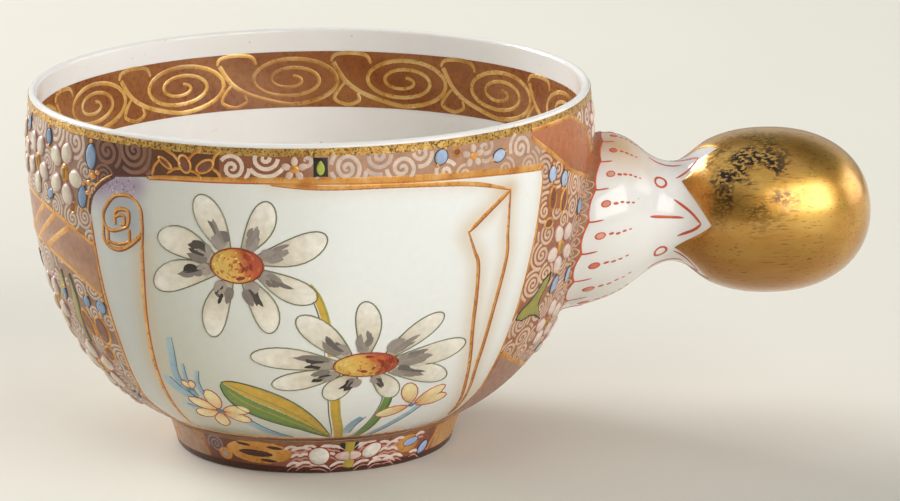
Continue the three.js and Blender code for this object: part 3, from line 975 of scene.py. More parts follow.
FOLD_LINES = [fine(line) for line in (INNER_LEFT, INNER_RIGHT, FOLD_TOP + FOLD_SIDE[1:])]
EDGE_LINES = [fine(line) for line in (LEFT_EDGE, RIGHT_EDGE, SECOND_TOP, LOW_LINE)]
SHADE_LINE = fine(ROLL_SHADE)


def panel_tone(angle, way):
    """White glaze, greyer in painted shade to the left and the foot, warm along the folds, lilac in the
    rolled corner.
    """
    fold = max(fade(distance_to(line, angle, way), 1.5) for line in FOLD_LINES)
    edge = max(fade(distance_to(line, angle, way), 1.1) for line in EDGE_LINES)
    left = unit((8 - angle) / 40)
    strip = unit((-36 - angle) / 6)
    low = unit((30 - way) / 30)
    # Painted shade: the glaze is greyed and darkened towards the left and towards the foot
    white = blend("#f1f2ee", "#bdbcab", left * (0.6 + 0.4 * low) * (1 - 0.3 * strip) + 0.1 * low)
    white = blend(white, "#c0c6c6", 0.55 * strip)
    white = blend(white, "#cfae80", (0.5 * fold + 0.3 * edge) * (1 if way < 34 or angle > -30 else 0.3))
    middle = math.hypot(math.radians(angle - ROLL_CENTRE[0]) * bowl_radius(way), way - ROLL_CENTRE[1])
    white = blend(white, "#a3a6ac", 0.85 * fade(middle, 3.4, 4))
    lilac = fade(distance_to(SHADE_LINE, angle, way), 1.7)
    return blend(white, "#a492a4", lilac * unit((way - 34) / 3))


def panel(side, turn):
    """One panel: its white glaze, and its gold lines with red under them."""
    wash = Paint(f"panel_glaze_{side}", PANEL_GLAZE, "porcelain")
    ways = [PANEL_LOW + (STRIP_LOW - PANEL_LOW) * row / PANEL_ROWS for row in range(PANEL_ROWS + 1)]
    left = [(edge_angle(LEFT_EDGE, way), way) for way in ways]
    right = [(edge_angle(RIGHT_EDGE, way), way) for way in ways]

    def on_side(angle, way, lift):
        return bowl_point(angle + turn, way, lift)

    wash.field(on_side, left, right, 0.0, WASH, PANEL_COLUMNS, panel_tone)
    gold = Paint(f"panel_gold_{side}", LINE_GOLD, "gold", f"panel_border_{side}")
    red = Paint(f"panel_red_{side}", ENAMEL, "brocade_enamel")
    place = wall_paper(turn)
    for line, width in PANEL_LINES:
        path = on_wall(smooth(line, 10))
        gold.stroke(place, path, tapered(width), height=0.08, base=WASH)
        red.stroke(place, shifted(path, 0.13, -0.1), tapered(RED_LINE + width / 2), "#a4552f", 0.03, WASH)
    border = on_wall(smooth([(-33.4, 39.4), *TOP_LINE[2:]], 10))
    gold.stroke(place, border, lambda share: 0.45 + 0.5 * min(share / 0.45, 1), height=0.08, base=GROUND)
    red.stroke(place, shifted(border, 0.0, -0.34), tapered(0.26), "#b5512f", 0.06, WASH)
    panel_roll(gold, red, turn)


def shifted(line, across, up):
    """A line moved across and up."""
    return [(spot[0] + across, spot[1] + up) for spot in line]


def panel_roll(gold, red, turn):
    """The paper's rolled corner: an arch, a ring that winds into a square, and a bowl over a box."""
    place = wall_paper(turn)
    arch = on_wall(smooth(ROLL_ARCH, 8))
    red.stroke(place, arch, tapered(0.45, 0.8, 0.8), "#5a2a1c", 0.09, WASH)
    gold.stroke(place, shifted(arch, -0.32, 0.2), tapered(0.25), height=0.1, base=GROUND)
    for angle, way, size in ROLL_DOTS:
        gold.patch(bowl_paper(angle + turn, way), oval(size, 0.7 * size, 10), height=0.14, base=GROUND)
    border = on_wall(smooth([(-42.4, 38.9), (-37, 39.3), (-32.5, 39.6)]))
    red.stroke(place, border, 0.4, "#5a2417", 0.09, WASH)
    for _ in range(ROLL_SPECKS):
        angle = rng.uniform(-46, -36.5)
        way = rng.uniform(36.6, 39)
        size = rng.uniform(0.08, 0.16)
        if distance_to(SHADE_LINE, angle, way) < 1.9:
            colour = rng.choice(("#7d6a80", "#c3b4c4"))
            red.patch(bowl_paper(angle + turn, way), oval(size, size, 7), colour, 0.02, WASH)
    for spots, width in ROLL_LINES:
        line = on_wall(smooth(spots))
        red.stroke(place, shifted(line, 0.1, -0.08), tapered(width + 0.08, 0.7, 0.7), "#8a4a24", 0.04, WASH)
        gold.stroke(place, line, tapered(width, 0.7, 0.7), height=0.09, base=WASH)


# Flower spray on a panel


def strap(foot, tip, width, bend):
    """Outline of a long petal: narrow at its foot, round at its tip and bent to one side."""
    along = tip - foot
    side = Vector((along.y, -along.x)).normalized()
    right = []
    left = []
    for step in range(11):
        share = math.sin(math.pi / 2 * step / 10)
        half = width / 2 * (0.4 + 0.6 * math.sin(math.pi / 2 * min(share / 0.6, 1)))
        if share > 0.6:
            half *= math.sqrt(max(1 - ((share - 0.6) / 0.4) ** 2, 0.0))
        spot = foot + along * share + side * bend * math.sin(math.pi * share)
        right.append(tuple(spot + side * half))
        left.append(tuple(spot - side * half))
    return [*right, *reversed(left[:-1])]


def brushed(width):
    """A brush mark's width: it swells after its start and runs out in a point."""

    def rule(share):
        swell = 0.35 + 0.65 * math.sin(math.pi * share**0.7)
        return width * swell * min(1.0, 4 * (1 - share) + 0.12)

    return rule


PETAL_RISE = 0.1
# Edge lines are width, colour and height
PETAL_EDGE = (0.19, "#77785a", 0.11)
EYE_RISE = 0.28
EYE_EDGE = (0.2, "#a5472c", 0.14)
EYE_DABS = 60
BLOSSOM_EDGE = (0.15, "#b4503c", 0.09)
# Brush marks on each petal: colour, share of its width, and where along it they start and end
BRUSH_MARKS = (("#a3978a", 0.5, 0.04, 0.3), ("#80756c", 0.42, 0.1, 0.44), ("#3c322c", 0.42, 0.13, 0.4),
               ("#2c2320", 0.26, 0.2, 0.46))


def daisy(paint, place, reach, rise, drop, petals, start, width):
    """An open daisy by its half width, its height over its eye and its drop under it."""
    eye_across = 0.29 * reach
    eye_up = 0.115 * (rise + drop)
    for number in range(petals):
        turn = start + 2 * math.pi * (number + rng.uniform(-0.1, 0.1)) / petals
        cosine = math.cos(turn)
        sine = math.sin(turn)
        tip = Vector((reach * cosine, (rise if sine > 0 else drop) * sine)) * rng.uniform(0.93, 1.05)
        foot = Vector((eye_across * cosine, eye_up * sine)) * 0.95
        breadth = min(width * rng.uniform(0.9, 1.08), 0.62 * (tip - foot).length)
        daisy_petal(paint, place, foot, tip, breadth, 0.3 + 0.35 * (cosine + sine))
    daisy_eye(paint, place, eye_across, eye_up)


def daisy_petal(paint, place, foot, tip, breadth, light):
    """A petal with dark brush marks by its foot, paler where the petal is in the light."""
    along = tip - foot
    side = Vector((-along.y, along.x)).normalized()

    def tone(across, up):
        share = (Vector((across, up)) - foot).dot(along) / along.length_squared
        return blend(blend("#b9ad97", "#e0d6c2", share / 0.45), "#efe9db", (share - 0.45) / 0.4)

    outline = strap(foot, tip, breadth, rng.uniform(-0.5, 0.5))
    paint.edged(place, outline, tone, PETAL_RISE, PETAL_EDGE, WASH)
    for shade, share, start, reach in BRUSH_MARKS:
        shift = rng.uniform(-0.24, 0.24) * breadth
        begin = foot + along * start * rng.uniform(0.7, 1.3) + side * 0.7 * shift
        end = foot + along * reach * rng.uniform(0.75, 1.3) + side * shift
        middle = (begin + end) / 2 + side * rng.uniform(-0.1, 0.1) * breadth
        mark = smooth([tuple(begin), tuple(middle), tuple(end)], 5)
        width = brushed(share * rng.uniform(0.8, 1.2) * breadth)
        paint.stroke(place, mark, width, blend(shade, "#9a8f86", light), 0.035, WASH + PETAL_RISE - SINK)


def daisy_eye(paint, place, half_width, half_height):
    """A yellow eye, red on its right, covered with small dabs."""

    def tone(across, up):
        share = across / half_width + 0.25 * up / half_height
        return blend(blend("#e0b95c", "#d99540", share + 0.5), "#ae4a2b", (share - 0.05) / 0.45)

    paint.edged(place, oval(half_width, half_height, 30), tone, EYE_RISE, EYE_EDGE, WASH)
    for _ in range(EYE_DABS):
        turn = rng.uniform(0, 2 * math.pi)
        off = math.sqrt(rng.uniform(0.02, 0.75))
        spot = (off * half_width * math.cos(turn), off * half_height * math.sin(turn))
        red = spot[0] / half_width + rng.uniform(-0.4, 0.4) > 0.15
        colour = rng.choice(("#9c3a20", "#c8662c", "#8a2f1c") if red else ("#ecd27c", "#c98a35", "#b5602c"))
        size = rng.uniform(0.3, 0.6) if red else rng.uniform(0.12, 0.3)
        dab = oval(size, 0.45 * size, 9, spot, turn + math.pi / 2)
        paint.patch(place, dab, colour, 0.03, WASH + EYE_RISE * min(1, 1.39 - 0.78 * off) - SINK)


def leaf(paint, place, spine, width, upper, lower, edge):
    """A long leaf in two colours along a bent spine."""
    middle = smooth(spine, 8)
    count = len(middle)

    def breadth(share):
        return 0.55 * width * math.sin(math.pi * share**0.8) + 0.02

    for sign, colour, other in ((1, upper, lower), (-1, lower, upper)):
        half = []
        for step, (across, up) in enumerate(middle):
            before = middle[max(step - 1, 0)]
            after = middle[min(step + 1, count - 1)]
            along = Vector((after[0] - before[0], after[1] - before[1])).normalized()
            off = sign * width / 4 * math.sin(math.pi * (step / (count - 1)) ** 0.8)
            half.append((across - along.y * off, up + along.x * off))
        paint.stroke(place, half, breadth, colour, 0.1, WASH)
        veins = [(0.72 * h[0] + 0.28 * m[0], 0.72 * h[1] + 0.28 * m[1]) for h, m in zip(half, middle)]
        shade = blend(colour, other, 0.5)
        for first in range(3, count - 9, 5):
            paint.stroke(place, veins[first : first + 7], tapered(0.55, 0.1, 0.1), shade, 0.12, WASH)
        rim = [(2 * h[0] - m[0], 2 * h[1] - m[1]) for h, m in zip(half, middle)]
        paint.stroke(place, rim, tapered(0.22), edge, 0.12, WASH)


def blossom(paint, place, headings, length, width):
    """A small yellow flower, its petals edged with red."""
    for heading in headings:
        turn = math.radians(heading)
        tip = Vector((length * math.cos(turn), length * math.sin(turn)))
        outline = petal(0.1 * tip, tip, width, 7, 1.2)

        def tone(across, up, tip=tip):
            return blend("#dfa766", "#f0e0ab", 1.3 * Vector((across, up)).dot(tip) / tip.length_squared)

        paint.edged(place, outline, tone, 0.08, BLOSSOM_EDGE, WASH)
    paint.patch(place, oval(0.4, 0.36, 10), "#5d7f9c", 0.12, WASH)


def brush_leaf(paint, place, spots, width):
    """A soft blue leaf laid with one brush stroke, with a dark line along one side."""
    line = smooth(spots, 6)
    count = len(line) - 1

    def breadth(share):
        return width * (0.25 + 0.75 * math.sin(math.pi * min(share * 0.8 + 0.1, 1)))

    def tone(across, up):
        gaps = [abs(spot[0] - across) + abs(spot[1] - up) for spot in line]
        return blend("#a9c2cd", "#7f9fb4", gaps.index(min(gaps)) / count)

    paint.stroke(place, line, breadth, tone, 0.05, WASH)
    paint.stroke(place, shifted(line, 0.42 * width, 0.05), tapered(0.16), "#5c7078", 0.07, WASH)


# Daisies: name, angle, way, reach, rise, drop, petals, first petal and petal width
DAISIES = (("upper", -15.0, 30.0, 10.6, 8.5, 9.4, 8, 0.4, 3.3),
           ("lower", 11.6, 17.2, 12.8, 8.8, 5.8, 9, 0.15, 2.85))
# Blossoms: angle, way, and the headings, length and width of the petals
BLOSSOMS = ((-25.6, 9.0, (12, 95, 150, 200, 255, 330), 3.9, 1.9),
            (26.0, 9.6, (40, 12, 110, 200), 4.4, 1.9),
            (-31, 12.6, (70, 120), 1.6, 0.9))
# Blue leaves: places and width
SPRIGS = (([(-32.6, 20.2), (-33, 17.6), (-33.8, 14.8), (-32.8, 12), (-30.4, 10.2)], 1.1),
          ([(-37.4, 14.2), (-35.4, 12.8), (-32.8, 11.6), (-30.2, 10.4)], 1.7),
          ([(-36.4, 9.6), (-33.4, 9.2), (-30, 9.2)], 1.3),
          ([(-27.6, 15.8), (-28.6, 13.8), (-28, 11.6)], 0.7),
          ([(-31, 16.6), (-31.4, 14), (-30.4, 11.4)], 0.6),
          ([(28.6, 9.2), (24.8, 6.6), (20.4, 3.8), (17.6, 2.2)], 1.1),
          ([(9.4, 3.6), (10.6, 6), (12.8, 8)], 1.3),
          ([(-20, 7.6), (-15, 4.8), (-9, 2.4)], 1.5))
# Stalks: places, width, colour and shade
STALKS = (([(-0.8, 27.8), (0.8, 26.4), (2.2, 24.2), (3, 21.8), (3.6, 18.6)], 1.1, "#cfa93c", "#a8a03e"),
          ([(4.6, 14.6), (5.0, 11.6), (5.6, 8.6), (6.8, 5.4), (7.8, 1.9)], 1.35, "#cfa83a", "#b9a13c"),
          ([(16.6, 14.2), (18.4, 11.6), (17.7, 8.4), (16, 5), (13.6, 1.9)], 1.25, "#6d8c3e", "#476e33"))
LONG_LEAF = [(-22, 14.4), (-17, 12.2), (-9, 9.6), (-2, 6.6), (5, 2.6)]
LONG_LEAF_WIDTH = 5.0


def spray(side, turn):
    """Two daisies with stems, a long leaf, small blossoms and blue leaves."""
    stems = Paint(f"spray_{side}", FLOWER_ENAMEL, "flower_enamel")
    place = wall_paper(turn)
    for spots, width, colour, shade in STALKS:
        line = on_wall(smooth(spots))
        beside = shifted(line, 0.3 * width, 0)
        stems.stroke(place, line, tapered(width, 0.8, 0.6), colour, 0.04, WASH)
        stems.stroke(place, beside, tapered(0.4 * width, 0.6, 0.5), shade, 0.045, WASH)
        stems.stroke(place, shifted(line, -0.55 * width, -0.1), tapered(0.2), "#6a6b4c", 0.04, WASH)
    leaf(stems, place, on_wall(LONG_LEAF), LONG_LEAF_WIDTH, "#cda53c", "#6f8a3c", "#59603e")
    for angle, way, headings, length, width in BLOSSOMS:
        blossom(stems, bowl_paper(angle + turn, way), headings, length, width)
    for spots, width in SPRIGS:
        brush_leaf(stems, place, on_wall(spots), width)
    for name, angle, way, *form in DAISIES:
        node = f"daisy_{side}_{name}"
        flower = Paint(f"{node}_enamel", FLOWER_ENAMEL, "flower_enamel", node)
        daisy(flower, bowl_paper(angle + turn, way), *form)


for side, turn in PANEL_TURNS.items():
    panel(side, turn)
    spray(side, turn)

# Brocade: wound lines, plain fields and flowers over the sides and under the rim

brocade_ground = Paint("brocade_ground_enamel", ENAMEL, "brocade_enamel", "brocade_ground")
brocade_petals = Paint("brocade_petals", ENAMEL, "brocade_enamel")
brocade_leaves = Paint("brocade_leaves", ENAMEL, "brocade_enamel")
brocade_gold = Paint("brocade_gold", LINE_GOLD, "gold")
taken = []  # (angle, way, radius) of what lies on the ground
STRIP_EDGE = ROLL_ARCH + TOP_LINE[1:]
SIDE_ROWS = 40
SIDE_COLUMNS = 60


def from_panel(angle):
    """Degrees from the middle of the nearer panel."""
    return (angle + 90) % 180 - 90


def over_panel(angle):
    """Whether a place lies between the ends of a panel's upper line."""
    return STRIP_EDGE[0][0] < from_panel(angle) < STRIP_EDGE[-1][0]


def strip_low(angle):
    """Way of the lower edge of the strip under the rim, which lies on a panel's upper line."""
    return follow(STRIP_EDGE, from_panel(angle)) if over_panel(angle) else STRIP_LOW


def by_rolled_corner(angle):
    """1 over a panel's rolled corner, falling off on both sides of it."""
    return fade(from_panel(angle) + 41, 8, 4)


def ground_tone(angle, way):
    """Ground that is mauve on the left, warm on the right and dark maroon by the panels' rolled corners."""
    side = blend("#8f6c54", "#a0603c", 0.5 + 0.5 * math.sin(math.radians(angle)))
    strip = blend("#8a5537", "#b2876a", (from_panel(angle) + 3) / 6) if over_panel(angle) else side
    high = unit((way - 35) / 3)
    return blend(blend(side, strip, high), "#461a10", high * by_rolled_corner(angle))


def side_ground(turn):
    """Ground of one side, between the panels."""
    ways = [GROUND_LOW + (STRIP_LOW - GROUND_LOW) * row / SIDE_ROWS for row in range(SIDE_ROWS + 1)]
    left = [(turn + edge_angle(RIGHT_EDGE, way), way) for way in ways]
    right = [(turn + 180 + edge_angle(LEFT_EDGE, way), way) for way in ways]
    brocade_ground.field(bowl_point, left, right, 0.0, GROUND, SIDE_COLUMNS, ground_tone)


for turn in PANEL_TURNS.values():
    side_ground(turn)
brocade_ground.ring(bowl_point, strip_low, RIM_LINE_LOW, 0.0, STRIP_GROUND, ground_tone)

# Plain fields: a band round the left side, two arms that come down to the handle, and an apron under it

# Edges of the plain fields: degrees from the middle of their side, and way up the wall
BAND_LOW = ((0, 28.3), (20, 27.6), (26, 27), (32, 26.1), (37, 24.9), (41, 24), (45, 23.2))
BAND_HIGH = ((0, 33.4), (20, 33), (28, 32.4), (33, 31.8), (37, 31), (41, 30.2), (45, 29.4))
ARMS_LOW = ((0, 33.4), (13.8, 34.1), (25.6, 36.3), (34.3, 39.5), (41, 42))
ARMS_HIGH = ((0, 34.2), (8.9, 35.9), (14.9, 39.7), (20.6, 41.5), (25, RIM_LINE_LOW))
APRON_LOW = ((0, GROUND_LOW), (42, GROUND_LOW))
APRON_HIGH = ((0, 9.2), (14, 9.8), (26, 11.8), (35.7, 14), (42, 15.8))
FIELD_STEPS = 48
FIELD_COLUMNS = 8
BAND_BARS = (33.6, 27.5, 21.5)  # upper ends of the slanting gold bars on the band
BAR_SLANT = 13.6


def band_tone(angle, way):
    return blend("#b0825f", "#a07258", 0.5 + 0.5 * math.sin(math.radians(9 * angle) + way))


def arms_tone(angle, way):
    return blend("#b97149", "#a7613b", 0.5 + 0.5 * math.sin(math.radians(7 * angle) + 0.7 * way))


def plain_field(middle, half, low_edge, high_edge, colour, width):
    """A plain field across one side, with gold along its edges."""
    angles = [2 * half * step / FIELD_STEPS - half for step in range(FIELD_STEPS + 1)]
    rows = []
    for edge in (low_edge, high_edge):
        line = [(angle, follow(edge, abs(angle))) for angle in angles]
        brocade_gold.stroke(wall_paper(middle), on_wall(line), width, height=0.1, base=FIELD)
        rows.append([(middle + angle, way) for angle, way in reversed(line)])
    brocade_ground.field(bowl_point, *rows, GROUND, FIELD - GROUND, FIELD_COLUMNS, colour)


def band_bars():
    """Slanting gold bars across the band, mirrored on the other half of its side."""
    for bar in BAND_BARS:
        for sign in (1, -1):
            foot = bar - BAR_SLANT
            ends = [(sign * bar, follow(BAND_HIGH, bar)), (sign * foot, follow(BAND_LOW, foot) + 0.1)]
            brocade_gold.stroke(wall_paper(LEFT), smooth(on_wall(ends), 12), 0.75, height=0.1, base=FIELD)


plain_field(LEFT, 41, BAND_LOW, BAND_HIGH, band_tone, 0.5)
plain_field(RIGHT, 40.4, ARMS_LOW, ARMS_HIGH, arms_tone, 0.55)
plain_field(RIGHT, 41.2, APRON_LOW, APRON_HIGH, "#a87c6a", 0.6)
band_bars()

# Ground and half rings at the collar's root

COLLAR_BAYS = 17
COLLAR_TURN = 1.2  # place of one bay, degrees above the front
ROOT_WAYS = (0.0, 0.45, 0.7, 1.2)  # ways out from the bowl to the fillet's rings and its end
SCALLOP_WAY = 0.9  # way out from the bowl to the collar's red line
SCALLOP_LEAN = 0.6  # how much nearer to the bowl it runs under the handle, and further off over it
SCALLOP_RISE = 0.3
HALF_RINGS_APART = 1.3
HALF_RING_RADII = (0.3, 0.62)
HALF_RING_STEP = 0.3  # radians between two points of a half ring
BARE_ABOVE = 0.62  # sine of the angle over the handle from where there are no half rings


def scallop(turn):
    """Way out from the bowl to the collar's red line, which runs out in a point between two bays."""
    share = (-math.degrees(turn) - COLLAR_TURN) * COLLAR_BAYS / 360
    return SCALLOP_WAY - SCALLOP_LEAN * math.sin(turn) + SCALLOP_RISE * (2 * abs(share - round(share))) ** 2


def over_root(way, turn, lift):
    """A point of the fillet, or of the bell beyond it, by its way out from the bowl."""
    if way > ROOT_WAYS[-1]:
        return handle_point(FILLET_WAY + way - ROOT_WAYS[-1], turn, lift)
    rings = [root_point(out, off, turn, lift) for out, off in FILLET]
    rings.append(handle_point(FILLET_WAY, turn, lift))
    return Vector([float(np.interp(way, ROOT_WAYS, [ring[axis] for ring in rings])) for axis in range(3)])


def root_paper(turn):
    """Paper on the fillet and the bell; across runs out from the bowl and up runs round it."""
    return lambda across, up, lift: over_root(across, turn - up / COLLAR_RADIUS, lift)


def collar_turn(angle):
    """Turn about the handle at some degrees under the middle of one bay."""
    return math.radians(angle - COLLAR_TURN)


def collar_tone(angle, _):
    return blend("#a0714f", "#a96a46", 8 * (-math.sin(collar_turn(angle)) - 0.68))


def collar_root():
    """The side's ground, carried over the fillet to the collar's red line."""
    brocade_ground.ring(lambda angle, way, lift: over_root(way, collar_turn(angle), lift), 0.0,
                        lambda angle: scallop(collar_turn(angle)), 0.0, GROUND, collar_tone,
                        turns=10 * COLLAR_BAYS)
    count = round(2 * math.pi * COLLAR_RADIUS / HALF_RINGS_APART)
    for number in range(count):
        turn = 2 * math.pi * number / count
        if -math.sin(turn) > BARE_ABOVE:
            continue
        for radius in HALF_RING_RADII:
            depth = scallop(turn) * radius / HALF_RING_RADII[-1]
            arc = []
            for step in range(11):
                bend = HALF_RING_STEP * step
                arc.append((depth * math.sin(bend) - 0.1, radius * math.cos(bend)))
            brocade_petals.stroke(root_paper(turn), arc, 0.18, "#d0af97", 0.05, GROUND)


collar_root()

# Flowers, leaves and ovals on the ground

ROSETTE_EDGE = (0.2, "#b27f7b", 0.14)
LEAF_EDGE = (0.16, "#45424a", 0.12)
OLIVE_EDGE = (0.2, "#2f2a1c", 0.14)


def in_plain_field(angle, way, margin):
    """Whether a place lies on a plain field, or within a margin of one."""
    angle = (angle + 180) % 360 - 180
    off = abs(from_panel(angle + 90))
    if angle < 0:
        return off < 45 and follow(BAND_LOW, off) - margin < way < follow(BAND_HIGH, off) + margin
    in_arms = follow(ARMS_LOW, off) - margin < way < follow(ARMS_HIGH, off) + margin
    return off < 42 and (in_arms or way < follow(APRON_HIGH, off) + margin)


def take(angle, way, spot, radius):
    """Marks the ground round a spot of bowl paper as taken."""
    taken.append((angle + math.degrees(spot[0] / bowl_radius(way)), way + spot[1], radius))


def rosette(angle, way, size, turn):
    """A flower of five round raised petals about a gold and olive eye."""
    place = bowl_paper(angle, way)
    for number in range(5):
        heading = math.radians(turn + 72 * number + rng.uniform(-7, 7))
        middle = (2.45 * size * math.cos(heading), 2.45 * size * math.sin(heading))
        outline = oval(1.3 * size, 1.08 * size, 16, middle, heading)
        fill = blend("#dbcfb6", "#cdbdad", rng.random())
        if angle > 0:
            fill = blend(fill, "#ecd3c4", 0.6)
        brocade_petals.edged(place, outline, fill, 0.32, ROSETTE_EDGE)
        take(angle, way, middle, 1.12 * size)
    brocade_gold.patch(place, oval(0.8 * size, 1.1 * size, 14), height=0.18, base=GROUND)
    brocade_leaves.patch(place, oval(0.5 * size, 0.8 * size, 12), "#8f7a35", 0.24, GROUND)
    take(angle, way, (0, 0), 1.1 * size)


def gem_leaf(angle, way, tilt, length, width):
    """A short blue leaf with a dark edge and gold at its ends, paler on the right side."""
    place = bowl_paper(angle, way, tilt)
    other = "#bccae2" if math.sin(math.radians(angle)) > 0.3 else "#66809f"
    fill = blend("#8ea5c2", other, rng.uniform(0.2, 0.8))
    brocade_leaves.edged(place, lens(length, width), fill, 0.17, LEAF_EDGE)
    for end in (-0.56, 0.56):
        brocade_gold.patch(place, oval(0.3, 0.24, 8, (end * length, 0)), height=0.15, base=GROUND)
    taken.append((angle, way, 0.42 * max(length, width)))


def framed_oval(angle, way, tilt, length, width):
    """A brown oval in a gold frame."""
    place = bowl_paper(angle, way, tilt)
    outline = oval(length / 2, width / 2, 18)
    brocade_leaves.patch(place, outline, "#7a4a36", 0.06, GROUND)
    brocade_gold.stroke(place, outline, 0.4, height=0.12, base=GROUND, closed=True)
    taken.append((angle, way, 0.45 * length))


def ribbon(middle, spots, width, colour):
    """A bent leaf with a dark edge, and its mirror image on the other half of a side."""
    place = wall_paper(middle)
    for sign in (1, -1):
        path = smooth(on_wall([(sign * (angle - middle), way) for angle, way in spots]), 6)

        def breadth(share):
            return width * (0.2 + 0.8 * math.sin(math.pi * share))

        brocade_leaves.stroke(place, shifted(path, 0.2 * sign, 0.12), breadth, "#3d3a28", 0.1, GROUND)
        brocade_leaves.stroke(place, path, breadth, colour, 0.16, GROUND)
        for across, up in path[::3]:
            taken.append((middle + math.degrees(across / bowl_radius(up)), up, 0.55 * width))


def on_both_halves(middle, spots):
    """Places on the seen half of a side, and their mirror images on its other half."""
    for angle, *rest in spots:
        yield angle, 1, rest
        yield 2 * middle - angle, -1, rest


# By side: rosettes (angle, way, size, turn), leaves and framed ovals (angle, way, tilt, length, width)
LEFT_ROSETTES = ((-57.9, 37.7, 1.0, 70), (-71.3, 37.6, 1.0, 55), (-84, 38, 0.9, 80), (-63.8, 12.6, 1.0, 25),
                 (-74.5, 20.5, 1.0, 60), (-84.5, 12.6, 0.95, 10), (-72, 6.6, 0.75, 40))
LEFT_LEAVES = ((-48.7, 40.5, 90, 3.1, 1.8), (-51.6, 35.6, 80, 2.8, 1.6), (-64.6, 41.2, 90, 2.0, 1.5),
               (-78, 41.3, 60, 2.2, 1.5), (-64.4, 34.6, 20, 2.0, 1.2), (-55.6, 22.6, 70, 1.7, 1.3),
               (-50.6, 22.4, 60, 2.0, 1.7), (-66, 22.4, 60, 1.9, 1.2), (-84.5, 24.4, 60, 2.3, 1.5),
               (-56.6, 8.6, 40, 1.9, 1.1), (-86.5, 19, 75, 2.2, 1.4))
LEFT_OVALS = ((-53.2, 19.0, 84, 3.7, 2.4), (-58.2, 19.4, 104, 3.6, 1.6), (-54.4, 15.6, 70, 2.2, 1.6),
              (-55.2, 34.0, 60, 1.3, 1.1), (-82.5, 6.4, 20, 2.2, 1.3))
RIGHT_ROSETTES = ((61.9, 27.6, 0.85, 50), (66.2, 17.6, 0.85, 30), (80.5, 13.4, 0.75, 70),
                  (82.6, 40.0, 0.6, 20))
RIGHT_LEAVES = ((56.4, 36.9, 75, 2.0, 1.7), (61.2, 35.8, 70, 2.0, 1.6), (70.2, 31.4, 80, 2.0, 1.5),
                (62.3, 23.0, 65, 2.5, 1.5), (69.6, 23.2, 75, 2.2, 1.4), (72.6, 13.0, 30, 1.8, 1.2))
RIGHT_OVALS = ((56.7, 34.0, 85, 2.7, 1.4), (61.3, 33.2, 75, 2.7, 1.4), (55.6, 31.2, 0, 1.7, 1.1))
STRIP_LEAVES = ((26.3, 41.6, 60, 1.9, 1.6), (40.0, 40.7, 20, 2.0, 1.4))
STRIP_OVALS = ((-25.3, 41.3, 115, 2.0, 1.3), (-21.0, 41.2, 30, 2.2, 1.2), (-29.6, 41.2, -35, 1.9, 0.6),
               (29.8, 41.9, 0, 1.0, 0.9))
SIDES = ((LEFT, LEFT_ROSETTES, LEFT_LEAVES, LEFT_OVALS),
         (RIGHT, RIGHT_ROSETTES, RIGHT_LEAVES, RIGHT_OVALS))
# Gold leaves of the strip's dark stretch: angle, way, tilt and length
ZONE_LEAVES = ((-31.6, 40.6, 60, 2.2), (-28, 42.0, -35, 2.6), (-27.4, 40.4, 20, 2.0),
               (-23.2, 42.3, 40, 2.2), (-23, 40.2, -30, 1.6), (-18.6, 42.2, 60, 2.0), (-18.6, 40.4, -50, 1.8))
ZONE_START = -33  # angle where that stretch starts
ZONE_SPAN = 15
ZONE_STEPS = 10
OLIVE_LEAF = [(59.2, 24.9), (56.6, 24.2), (55, 23), (52.7, 21.9), (50.8, 21.3), (49.4, 20.6), (49.6, 20),
              (51.8, 19.7), (54.8, 20), (57.6, 19.6), (60, 18.8), (58.1, 20.1), (56.5, 21.2), (57, 22.3),
              (58.1, 23.2), (59, 24)]
OLIVE_SPINE = ((57.4, 22.2), (54.4, 21.6), (52, 21.2))


def motifs():
    for middle, rosettes, leaves, ovals in SIDES:
        for angle, hand, (way, size, turn) in on_both_halves(middle, rosettes):
            rosette(angle, way, size, 90 + hand * (turn - 90))
        for motif, spots in ((gem_leaf, leaves), (framed_oval, ovals)):
            for angle, hand, (way, tilt, *size) in on_both_halves(middle, spots):
                motif(angle, way, 90 + hand * (tilt - 90), *size)
    for turn in PANEL_TURNS.values():
        gold_zone(turn)
        for motif, spots in ((gem_leaf, STRIP_LEAVES), (framed_oval, STRIP_OVALS)):
            for angle, *form in spots:
                motif(angle + turn, *form)
        bud(1.9 + turn, 41.4)
        strip_blossom(-3.2 + turn, 41.2)
        strip_blossom(33.6 + turn, 41.2)


def gold_zone(turn):
    """A stretch of the strip that is dark gold, with gold leaves behind the brown ovals."""
    angles = [ZONE_START + ZONE_SPAN * step / ZONE_STEPS for step in range(ZONE_STEPS, -1, -1)]
    low = [(turn + angle, strip_low(angle) + 0.1) for angle in angles]
    high = [(turn + angle, RIM_LINE_LOW) for angle in angles]
    brocade_ground.field(bowl_point, low, high, GROUND, 0.02, 4, "#603717")
    for angle, way, tilt, length in ZONE_LEAVES:
        line = smooth([(-length / 2, 0), (0, 0.25), (length / 2, 0)])
        place = bowl_paper(turn + angle, way, tilt)
        brocade_gold.stroke(place, line, tapered(0.45), height=0.1, base=GROUND)
    for angle in (-30.5, -28, -25, -22, -19.5):
        taken.extend((turn + angle, way, 1.1) for way in (40.5, 42.2))


def bud(angle, way):
    """A yellow-green bud on a black square."""
    place = bowl_paper(angle, way)
    square = [(-0.85, -1.15), (0.85, -1.15), (0.85, 1.15), (-0.85, 1.15)]
    brocade_leaves.patch(place, square, BLACK, 0.05, GROUND)
    brocade_leaves.patch(place, petal((0, 0.8), (0, -0.95), 1.0, 7, 1.3), "#aab04a", 0.14, GROUND)
    taken.append((angle, way, 1.15))


